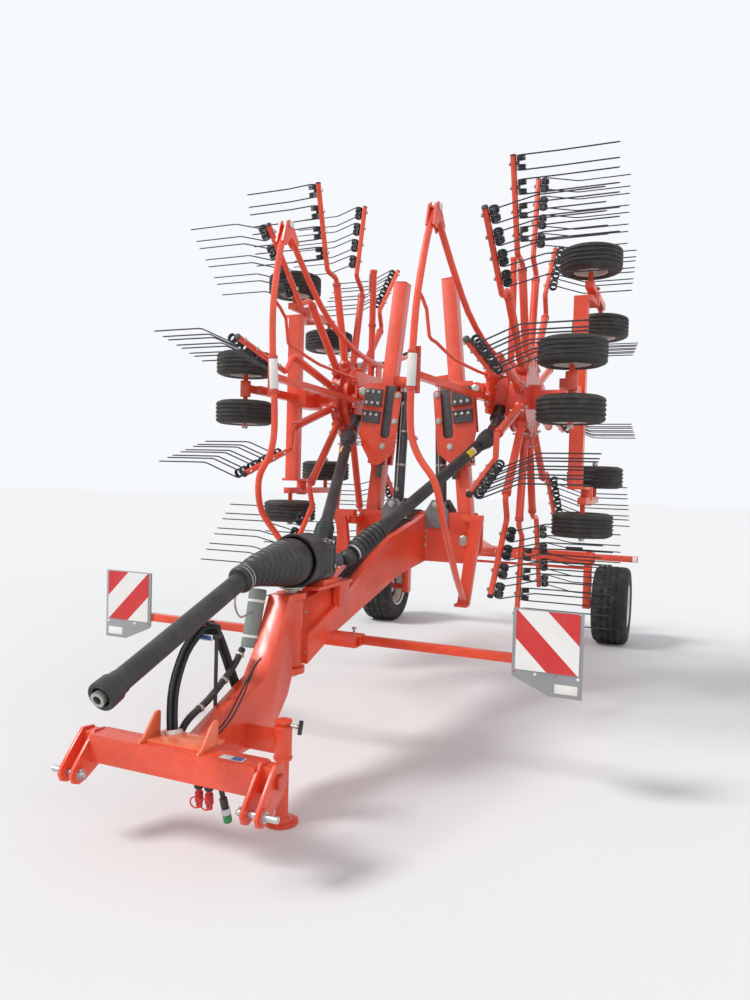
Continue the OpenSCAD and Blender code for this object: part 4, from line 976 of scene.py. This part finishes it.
def makeHitchTrim():
    x, y, z, ear = (hitch[k] for k in ("x", "y", "z", "ear"))
    boss = turned([(0.0, 0.034), (0.004, 0.034), (0.006, 0.031), (0.006, 0.016)], 28)
    washer = turned([(0.0, 0.0145), (0.0, 0.024), (0.003, 0.024), (0.003, 0.0145)], 28)
    peg = turned([(-0.026, 0.004), (0.024, 0.005), (0.027, 0.005)], 10)
    loop = swept(oval(0.022, 0.022, 18, 0.022), 0.002, 6, closed=True)
    at = Vector((x - ear - 0.018, y, z))
    pair([(boss, stand((x + e * ear, y, z), (e, 0, 0))) for e in (-1, 1)], "ear_bosses", "orange",
        "headstock")
    pair([(peg, stand(at, (0, -0.5, 1))), (loop, stand(at + Vector((0, 0.01, -0.022)), (0, -0.5, 1), 20)),
        (washer, stand(at + Vector((0.008, 0, 0)), (1, 0, 0)))], "linch_pins", "zinc", "headstock")
    # round spigots where the ears hold the crossbar
    spigot = turned([(0.0, 0.03), (0.004, 0.032), (0.018, 0.032), (0.022, 0.028), (0.022, 0.012)], 28)
    pair([(spigot, stand((x + ear, -2.68, 0.4), (1, 0, 0))),
        (spigot, stand((x - ear, -2.7, 0.415), (-1, 0, 0)))], "ear_spigots", "paintedShadeOrange", "headstock")
    horn = plate([(0.0, 0.0), (0.137, 0.0), (0.137, 0.102), (0.131, 0.112), (0.108, 0.11), (0.086, 0.092),
        (0.03, 0.022), (0.0, 0.008)], 0.012, 0.002)
    bed = block(0.312, 0.15, 0.012, 0.003)
    upright = Matrix(((0, 0, 1, 0), (1, 0, 0, 0), (0, 1, 0, 0), (0, 0, 0, 1)))
    # the horn gussets and their bed take the lighter orange copy, which is painted sunlight
    single([(horn, moved(middle - 0.006, -2.736, 0.459) @ upright) for middle in hitch["horns"]]
        + [(bed, moved(0, -2.625, 0.465))], "horn_gussets", "paintedLightOrange", "headstock")
    label = block(0.11, 0.04, 0.0012, 0.0004)
    inset = block(0.05, 0.034, 0.001, 0.0003)
    single([(label, stand((0.29, hitch["barY"], hitch["barTop"] + 0.0002)))], "crossbar_label", "white",
        "headstock")
    single([(inset, stand((0.314, hitch["barY"], hitch["barTop"] + 0.0012)))], "crossbar_label_blue",
        "blue", "headstock")
    cap = turned([(0.0, 0.064), (0.004, 0.07), (0.01, 0.07), (0.014, 0.06), (0.016, 0.034)], 36)
    single([(cap, stand(hitch["pivotTop"]))], "steering_cap", "zinc", "frame")
    pair([(greaser, stand((0.0655, -1.69, low), (1, 0, 0.1))) for low in hitch["greasers"]],
        "pivot_greasers", "zinc", "frame")
    # parking stand: sleeve rings, pin with its T grip, foot flange
    x, y, lock = (parking[k] for k in ("x", "y", "lock"))
    ring = turned([(-0.006, 0.0412), (-0.006, 0.044), (0.006, 0.044), (0.006, 0.0412)], 32)
    single([(ring, stand((x, y, z))) for z in parking["rings"]], "stand_rings", "orange", "headstock")
    stem = turned([(0.03, 0.007), (0.072, 0.007), (0.072, 0.01), (0.082, 0.01), (0.082, 0.006),
        (0.095, 0.006)], 14)
    grip = turned([(-0.032, 0.008), (-0.03, 0.0105), (0.03, 0.0105), (0.032, 0.008)], 14)
    single([(stem, stand((x, y, lock), (1, -0.15, 0)))], "stand_lock", "zinc", "headstock")
    single([(grip, stand((x + 0.096, y - 0.014, lock), (0, 0.3, 1)))], "stand_grip", "black", "headstock")
    foot = turned([(0.0125, 0.078), (0.015, 0.074), (0.017, 0.05), (0.03, 0.036), (0.033, 0.031)], 40)
    single([(foot, stand((x, y, 0.0)))], "stand_foot", "orange", "parking_stand")


makeHitchTrim()

documentTube = {"at": (-0.1055, -1.96, 0.72), "along": (0.0, 0.25, 1.0)}


def makeDocumentTube():
    body = turned([(0.0, 0.04), (0.004, 0.045), (0.044, 0.045), (0.046, 0.0435), (0.25, 0.0435),
        (0.252, 0.0455), (0.296, 0.0455), (0.302, 0.04), (0.303, 0.02)], 40)
    band = turned([(0.0, 0.045), (0.0, 0.0468), (0.014, 0.0468), (0.014, 0.045)], 40)
    seat = stand(documentTube["at"], documentTube["along"])
    single([(body, seat)], "document_holder", "greyPlastic", "headstock", ["document_tube"])
    single([(band, seat @ moved(0, 0, z)) for z in (0.05, 0.232)], "document_bands", "white", "headstock")
    lug = swept(routed([(0.0, -0.046, 0.255), (0.0, -0.056, 0.262), (0.0, -0.056, 0.285),
        (0.0, -0.046, 0.292)], 4), 0.0035, 8)
    single([(lug, seat)], "document_catch", "black", "headstock")


makeDocumentTube()
print("headstock dressed")

# Warning boards: bolts, rivets, blank reflector, rear brackets
board = {"x": 1.32, "z": 0.813, "y": -1.475, "w": 0.315, "h": 0.304, "rim": 0.018, "clampZ": 0.69,
    "bolts": (-0.056, 0.155), "rivets": (-0.163, 0.046), "sleevePins": ((0.215, -1.368), (-0.215, -1.432))}


def makeBoards():
    x, z, y = board["x"], board["z"], board["y"]
    bolt = turned([(0.0, 0.0085), (0.003, 0.008), (0.005, 0.005)], 16)
    rivet = turned([(0.0, 0.0045), (0.002, 0.0042), (0.0032, 0.0025)], 12)
    front = y + 0.0045
    low = z - board["h"] / 2
    pair([(bolt, stand((bx, front, low - 0.017), (0, -1, 0))) for bx in [x + dx for dx in board["bolts"]]],
        "board_bolts", "white", "board")
    pair([(rivet, stand((bx, front, low - 0.014), (0, -1, 0)))
        for bx in [x + dx for dx in board["rivets"]]], "board_rivets", "red", "board")
    plateShape = block(0.112, 0.003, 0.046, 0.0012)
    pair([(plateShape, stand((x + 0.098, front - 0.001, low - 0.076)))], "board_reflector", "white",
        "board")
    half, rim = board["w"] / 2, board["rim"]
    lip = block(0.004, 0.01, board["h"] + 0.03, 0.001)
    topLip = block(board["w"] + 2 * rim, 0.01, 0.004, 0.001)
    pair([(lip, stand((x + e * (half + rim - 0.002), y + 0.012, z - 0.012))) for e in (-1, 1)]
        + [(topLip, stand((x, y + 0.012, z + board["h"] / 2 + 0.004)))], "board_lips", "sheet", "board")
    clampShape = block(0.06, 0.01, 0.075, 0.003)
    low = board["clampZ"]
    pair([(clampShape, stand((x, y + 0.0135, low)))] + [(boltHead,
        stand((x + dx, y + 0.0185, low + dz), (0, 1, 0))) for dx in (-0.022, 0.022)
        for dz in (-0.03, 0.03)], "board_clamp", "zinc", "board")
    # locking pins of the sliding tubes on their sleeves
    stem = turned([(-0.008, 0.007), (0.024, 0.007), (0.026, 0.014), (0.034, 0.014), (0.036, 0.006)], 14)
    single([(stem, stand((sx, sy, low + 0.0305))) for sx, sy in board["sleevePins"]], "sleeve_pins", "zinc",
        "frame")


makeBoards()
print("boards dressed")

# Lift beams, carriages and fold cylinders, placed in the frame of the folded left beam
beam = {"hinge": (0.4, 0.28, 1.16), "lean": 6.0, "length": 1.98, "headPin": (0.17, 0.0, 1.112),
    "crossBolts": (1.281, 1.22, 1.167, 1.105), "pads": (0.6, 0.7)}
cylinder = {"foot": (0.178, 0.28, 1.413), "eye": (-0.13, 0.0, 1.22), "straps": (0.35, 0.65)}
beamPlace = Matrix.Translation(beam["hinge"]) @ Matrix.Rotation(math.radians(-beam["lean"]), 4, "Y")
fork = {"face": -0.13, "bolts": ((-0.128, 1.103), (-0.128, 0.905), (-0.053, 0.704)), "slot": -0.06,
    "clamps": ((1.075, 0.125), (0.915, 0.085)), "clampX": 0.066}


def makeForks():
    bar = block(0.086, 0.02, 0.44, 0.003)
    low = block(0.04, 0.024, 0.36, 0.004)
    blocks = [(block(0.148, 0.022, height, 0.004), beamPlace @ moved(fork["clampX"], fork["face"] - 0.011,
        z)) for z, height in fork["clamps"]]
    lip = block(0.16, 0.034, 0.01, 0.002)
    big = joined([(boltHead, Matrix.Scale(1.45, 4)), (washerShape,
        moved(0, 0, -0.001) @ Matrix.Scale(1.45, 4))])
    pair([(bar, beamPlace @ moved(fork["slot"], -0.101, 0.955)),
        (low, beamPlace @ moved(-0.04, -0.098, 0.64))] + blocks
        + [(lip, beamPlace @ moved(fork["clampX"], fork["face"] - 0.015, z)) for z in (0.962, 1.008)],
        "fork_clamps", "darkGrey", "carriage")
    front = Matrix.Rotation(math.radians(90), 4, "X")
    pair([(big, beamPlace @ moved(x, fork["face"], z) @ front) for x, z in fork["bolts"]]
        + [(boltHead, beamPlace @ moved(fork["clampX"] + dx, fork["face"] - 0.0225, z) @ front)
        for z in (0.94, 1.03, 1.115) for dx in (-0.048, 0.0, 0.048)], "fork_bolts", "zinc", "carriage")


makeForks()


def makeBeamTrim():
    cap = block(0.104, 0.124, 0.008, 0.003)
    edge = turned([(0.0, 0.038), (0.006, 0.038), (0.01, 0.033), (0.012, 0.018)], 28)
    hinge = Vector(beam["hinge"])
    pair([(cap, beamPlace @ moved(0, 0, beam["length"] + 0.0035))], "beam_caps", "paintedShadeOrange", "lift_arm")
    pair([(edge, stand(hinge + Vector((0, e * 0.132, 0)), (0, e, 0))) for e in (-1, 1)]
        + [(greaser, stand(hinge + Vector((0, -0.143, 0)), (0, -1, 0)))], "hinge_caps", "zinc", "frame")
    head = joined([(boltHead, here), (washerShape, moved(0, 0, -0.0005))])
    disc = turned([(-0.002, 0.026), (0.004, 0.026), (0.006, 0.019), (0.016, 0.019), (0.018, 0.012)], 24)
    foot = Vector(cylinder["foot"])
    pair([(head, stand((0.087, hinge.y + e * 0.1002, z), (0, e, 0))) for e in (-1, 1)
        for z in beam["crossBolts"]] + [(disc, stand(foot + Vector((0, e * 0.145, 0)), (0, e, 0)))
        for e in (-1, 1)], "cross_bolts", "zinc", "frame")
    pad = block(0.01, 0.08, 0.05, 0.002)
    nut = turned([(-0.002, 0.034), (0.004, 0.036), (0.012, 0.036), (0.016, 0.03), (0.018, 0.016)], 6)
    pivot = Vector(beam["headPin"])
    pair([(pad, beamPlace @ moved(0.0755, 0, z)) for z in beam["pads"]], "slide_pads", "black", "carriage")
    pair([(boltHead, beamPlace @ stand((0.08, dy, z), (1, 0, 0))) for dy in (-0.025, 0.025)
        for z in beam["pads"]] + [(nut, beamPlace @ stand(pivot + Vector((0, e * 0.122, 0)), (0, e, 0)))
        for e in (-1, 1)], "carriage_bolts", "zinc", "carriage")


makeBeamTrim()


def makeCylinders():
    foot = Vector(cylinder["foot"])
    eye = beamPlace @ Vector(cylinder["eye"])
    away = (eye - foot).normalized()
    length = (eye - foot).length
    top = length - 0.075
    barrel = turned([(0.0255, 0.03), (0.028, 0.04), (0.034, 0.0424), (top - 0.072, 0.0424),
        (top - 0.07, 0.041), (top - 0.064, 0.041), (top - 0.062, 0.0424), (top - 0.004, 0.0424),
        (top, 0.039), (top, 0.0235), (top - 0.045, 0.023)], 40)
    bush = turned([(-0.081, 0.0184), (-0.081, 0.033), (-0.078, 0.035), (0.078, 0.035), (0.081, 0.033),
        (0.081, 0.0184)], 32)
    line = [(0.045, 0, 0.12), (0.055, 0, 0.126), (0.057, 0, 0.16), (0.057, 0, top - 0.14),
        (0.055, 0, top - 0.108), (0.045, 0, top - 0.1)]
    pipe = swept(routed(line, 4), 0.0055, 10)
    port = block(0.02, 0.026, 0.028, 0.003)
    strap = turned([(-0.008, 0.042), (-0.008, 0.0436), (0.008, 0.0436), (0.008, 0.042)], 32)
    seat = stand(foot, away)
    pair([(barrel, seat), (bush, stand(foot, (0, 1, 0)))], "barrel", "darkGrey", "lift_barrel",
        ["lift_barrel"])
    pair([(pipe, seat), (port, seat @ moved(0.046, 0, 0.112)), (port, seat @ moved(0.046, 0, top - 0.094))]
        + [(strap, seat @ moved(0, 0, t * top)) for t in cylinder["straps"]], "barrel_pipes", "zinc",
        "lift_barrel")
    rod = turned([(0.15, 0.0222), (length - 0.042, 0.0224), (length - 0.04, 0.027),
        (length - 0.028, 0.027)], 32)
    rodEye = turned([(-0.0195, 0.0205), (-0.0195, 0.0315), (-0.0175, 0.033), (0.0175, 0.033),
        (0.0195, 0.0315), (0.0195, 0.0205)], 36)
    core = turned([(-0.0198, 0.012), (-0.0198, 0.0206), (0.0198, 0.0206), (0.0198, 0.012)], 28)
    pair([(rod, seat), (rodEye, stand(eye, (0, 1, 0))), (core, stand(eye, (0, 1, 0)))], "rod", "steel",
        "lift_rod", ["lift_rod"])


makeCylinders()

# Pipes clipped along the top of the front beam, and blank labels on its side
framePipes = {"route": [(0.0, -1.29, 0.897), (0.0, -0.9, 1.056), (0.0, -0.58, 1.192), (0.0, -0.3, 1.244),
    (0.0, -0.02, 1.296), (0.0, 0.11, 1.335), (0.0, 0.19, 1.362), (0.0, 0.27, 1.352)],
    "lanes": (-0.03, -0.01, 0.01, 0.03), "clips": (3, 10, 17, 24), "webSide": -0.0557}


def makeFramePipes():
    route = [spot + Vector((0, 0, 0.008)) for spot in routed(framePipes["route"], 6)]
    pipe = swept(route, 0.006, 10)
    clip = block(0.088, 0.014, 0.02, 0.003)
    single([(pipe, moved(x, 0, 0)) for x in framePipes["lanes"]], "frame_pipes", "rubber", "frame")
    seats = [(route[k], route[k + 1] - route[k]) for k in framePipes["clips"]]
    places = [Matrix.Translation(at) @ Matrix.Rotation(math.atan2(gap.z, gap.y), 4, "X")
        for at, gap in seats]
    single([(clip, place) for place in places], "pipe_clips", "black", "frame")
    single([(boltHead, place @ moved(0, 0, 0.0095)) for place in places], "clip_bolts", "zinc", "frame")
    blue = block(0.0012, 0.19, 0.15, 0.0004)
    yellow = block(0.0012, 0.11, 0.14, 0.0004)
    single([(blue, moved(framePipes["webSide"], -1.445, 0.875))], "web_label_blue", "blue", "frame")
    single([(yellow, moved(framePipes["webSide"], -1.28, 0.89))], "web_label_yellow", "yellow", "frame")


makeFramePipes()
print("beams and frame dressed")

# Guards with pale sleeves between clamps, and the rotor heads' posts
guard = {"sleeve": ((0.4515, -1.1935, 2.14), (0.459, -1.2015, 2.325)), "apex": (0.5, -0.999, 3.213)}


def makeGuardTrim():
    low, high = (Vector(p) for p in guard["sleeve"])
    along = high - low
    sleeve = turned([(0.0, 0.0205), (0.0, 0.0262), (0.003, 0.0275), (along.length - 0.003, 0.0275),
        (along.length, 0.0262), (along.length, 0.0205)], 24)
    ring = turned([(-0.009, 0.0205), (-0.009, 0.0285), (0.009, 0.0285), (0.009, 0.0205)], 24)
    web = block(0.03, 0.008, 0.27, 0.002)
    side = low + along * 0.5 + Vector((0.033, 0.012, 0))
    pair([(sleeve, stand(low, along))], "guard_sleeves", "white", "rotor_head")
    pair([(ring, stand(low + along * t, along)) for t in (-0.07, 1.07)] + [(web, Matrix.Translation(side))],
        "guard_clamps", "paintedShadeOrange", "rotor_head")
    pin = turned([(-0.04, 0.01), (-0.04, 0.019), (-0.036, 0.022), (-0.03, 0.022), (-0.03, 0.01)], 22)
    top = Vector(guard["apex"])
    front = turned([(0.0, 0.016), (0.004, 0.022), (0.01, 0.022), (0.014, 0.016)], 22)
    pair([(pin, stand(top, (e, 0, 0))) for e in (-1, 1)] + [(front,
        stand(top + Vector((0, -0.018, 0)), (0, -1, 0.2)))], "guard_pins", "white", "rotor_head")
    pair([(boltHead, stand((x, 0.184, z), (0, -1, 0))) for x, z in ((0.538, 2.19), (0.538, 2.24))]
        + [(boltHead, stand((0.538, y, 2.5), (1, 0, 0))) for y in (0.62, 0.68)], "guard_bolts", "zinc",
        "rotor_head")


rotorHead = {"post": (0.6, 0.64), "postTop": 3.3565, "postRings": (2.372, 2.448, 2.9),
    "drum": (0.5455, 0.55, 2.26), "drumRing": 0.165, "drumBolts": (22, 68, 112, 158, 202, 248, 292, 338),
    "inlet": (0.58, 0.2, 1.95), "inletDir": (0.0, 0.745, 0.665), "wheelX": 1.22, "columnX": 1.16}


def makeHeadTrim():
    disc = turned([(0.0, 0.0325), (0.004, 0.0325), (0.007, 0.03), (0.008, 0.01)], 28)
    collar = turned([(-0.012, 0.027), (-0.012, 0.033), (0.012, 0.033), (0.012, 0.027)], 28)
    tag = block(0.008, 0.05, 0.15, 0.002)
    x, y = rotorHead["post"]
    pair([(disc, stand((x, y, rotorHead["postTop"])))] + [(collar, stand((x, y, z)))
        for z in rotorHead["postRings"]], "post_trim", "paintedShadeOrange", "rotor_head")
    pair([(tag, stand((x + 0.031, y, 3.26)))], "post_tags", "white", "rotor_head")
    centre, far = Vector(rotorHead["drum"]), rotorHead["drumRing"]
    neck = Vector(rotorHead["inletDir"]).normalized()
    inlet = Vector(rotorHead["inlet"]) + neck * 0.0505
    pair([(boltHead, stand(centre + Vector((0, far * math.cos(a), far * math.sin(a))), (1, 0, 0)))
        for a in [math.radians(turn) for turn in rotorHead["drumBolts"]]], "head_bolts", "zinc",
        "rotor_head")
    flange = turned([(0.0, 0.0395), (0.002, 0.047), (0.02, 0.047), (0.024, 0.0405), (0.13, 0.0405),
        (0.134, 0.058), (0.152, 0.058), (0.156, 0.0405), (0.3, 0.0402)], 36)
    pair([(flange, stand(inlet, neck))], "input_necks", "darkGrey", "rotor_head")
    nut = turned([(-0.002, 0.026), (0.004, 0.026), (0.005, 0.022), (0.018, 0.022), (0.02, 0.014)], 6)
    x, z = rotorHead["wheelX"], centre.z
    seats = [((x, y, z + e * far), e * way) for y, far, way in ((-0.33, 0.283, 1), (0.4, 1.055, 1),
        (1.06, 0.5, -1)) for e in (-1, 1)]
    hub = turned([(-0.002, 0.046), (0.004, 0.046), (0.01, 0.04), (0.012, 0.018)], 28)
    pair([(nut, stand(at, (0, 0, e))) for at, e in seats], "axle_nuts", "zinc", "rotor_head")
    pair([(hub, stand((x, 0.6, z + e * 0.805), (0, 0, e))) for e in (-1, 1)], "rocker_caps", "paintedShadeOrange",
        "rotor_head")
    dish = turned([(-0.002, 0.052), (0.004, 0.052), (0.009, 0.046), (0.011, 0.02)], 32)
    x = rotorHead["columnX"]
    pair([(dish, stand((x, centre.y, z), (1, 0, 0)))] + [(boltHead,
        stand((x, 0.47 + 0.14 * a, z + 0.06 * b), (1, 0, 0))) for a in (0, 1) for b in (-1, 1)],
        "column_caps", "zinc", "rotor_head")


makeGuardTrim()
makeHeadTrim()

# Rear: lamps with their shells, kingpins, tie rod ends
rear = {"lamp": (0.79, 3.11, 0.85), "marker": (1.4475, 2.64, 0.86), "kingpin": (1.0, 2.7, 0.9195),
    "rodEnd": (0.9805, 2.84, 0.7208)}


def makeRearTrim():
    lens = block(0.176, 0.018, 0.062, 0.006)
    shell = block(0.18, 0.026, 0.13, 0.006)
    mark = block(0.045, 0.018, 0.06, 0.006)
    base = block(0.041, 0.016, 0.054, 0.004)
    x, y, z = rear["lamp"]
    pair([(shell, moved(x, y + 0.013, z))], "lamp_shells", "black", "frame")
    pair([(lens, moved(x, y + 0.031, z - 0.033))], "tail_lamps", "lamp", "frame")
    pair([(lens, moved(x, y + 0.031, z + 0.033))], "turn_lamps", "amber", "frame")
    x, y, z = rear["marker"]
    single([(mark, flip @ moved(x, y + 0.009, z)) for side, flip in sides], "marker_lamps", "white",
        "frame", ["rear_lights"])
    single([(base, flip @ moved(x, y + 0.022, z)) for side, flip in sides], "marker_bases", "black",
        "frame")
    cap = turned([(0.0, 0.034), (0.006, 0.034), (0.01, 0.028), (0.012, 0.01)], 28)
    joint = turned([(-0.034, 0.01), (-0.018, 0.01), (-0.016, 0.018), (-0.006, 0.022), (0.012, 0.022),
        (0.018, 0.016), (0.022, 0.008)], 24)
    pair([(cap, stand(rear["kingpin"]))], "kingpin_caps", "zinc", "knuckle")
    pair([(joint, stand(rear["rodEnd"]))], "rod_ends", "black", "tie_rod")


makeRearTrim()
print("guards and rear dressed")

floorSize = {"radius": 60.0, "colour": (0.8, 0.8, 0.79)}
lamps = {
    "sky": 0.62,
    "sun": {"turn": (46.0, 0.0, -52.0), "power": 2.1, "spread": 16.0},
    "fill": {"turn": (62.0, 0.0, 60.0), "power": 0.5, "spread": 40.0},
}


def makeStage():
    bpy.ops.object.select_all(action="DESELECT")
    bpy.ops.mesh.primitive_circle_add(vertices=96, radius=floorSize["radius"], fill_type="NGON",
        location=(0, 0, 0))
    floor = bpy.context.object
    floor.name = "floor"
    floor.data.materials.append(
        Finish("floor_pale").set(colour=floorSize["colour"], roughness=0.9, specular=0.1))
    # soft light on the object, white where the camera or a reflection sees the sky
    studio = Finish("studio", bpy.data.worlds)
    bpy.context.scene.world = studio.material
    studio.tree.nodes.clear()
    seen = studio.node("ShaderNodeMath", {"operation": "MAXIMUM"}, {
        0: studio.node("ShaderNodeLightPath", output="Is Camera Ray"),
        1: studio.node("ShaderNodeLightPath", output="Is Glossy Ray")})
    lit, shown = (studio.node("ShaderNodeBackground", {}, {"Color": (*colour, 1.0), "Strength": strength})
        for colour, strength in (((0.92, 0.95, 1.0), lamps["sky"]), ((0.93, 0.95, 0.98), 1.0)))
    studio.node("ShaderNodeOutputWorld", {}, {
        "Surface": studio.node("ShaderNodeMixShader", {}, {0: seen, 1: lit, 2: shown})})
    for name in ("sun", "fill"):
        spec = lamps[name]
        data = bpy.data.lights.new(name, "SUN")
        data.energy = spec["power"]
        data.angle = math.radians(spec["spread"])
        lamp = bpy.data.objects.new(name, data)
        lamp.rotation_euler = Euler([math.radians(v) for v in spec["turn"]])
        bpy.context.collection.objects.link(lamp)
    bpy.context.scene.view_settings.view_transform = "Standard"


makeStage()
print("stage made")

for leftover in templates:
    bpy.data.objects.remove(leftover)
print("templates cleared")
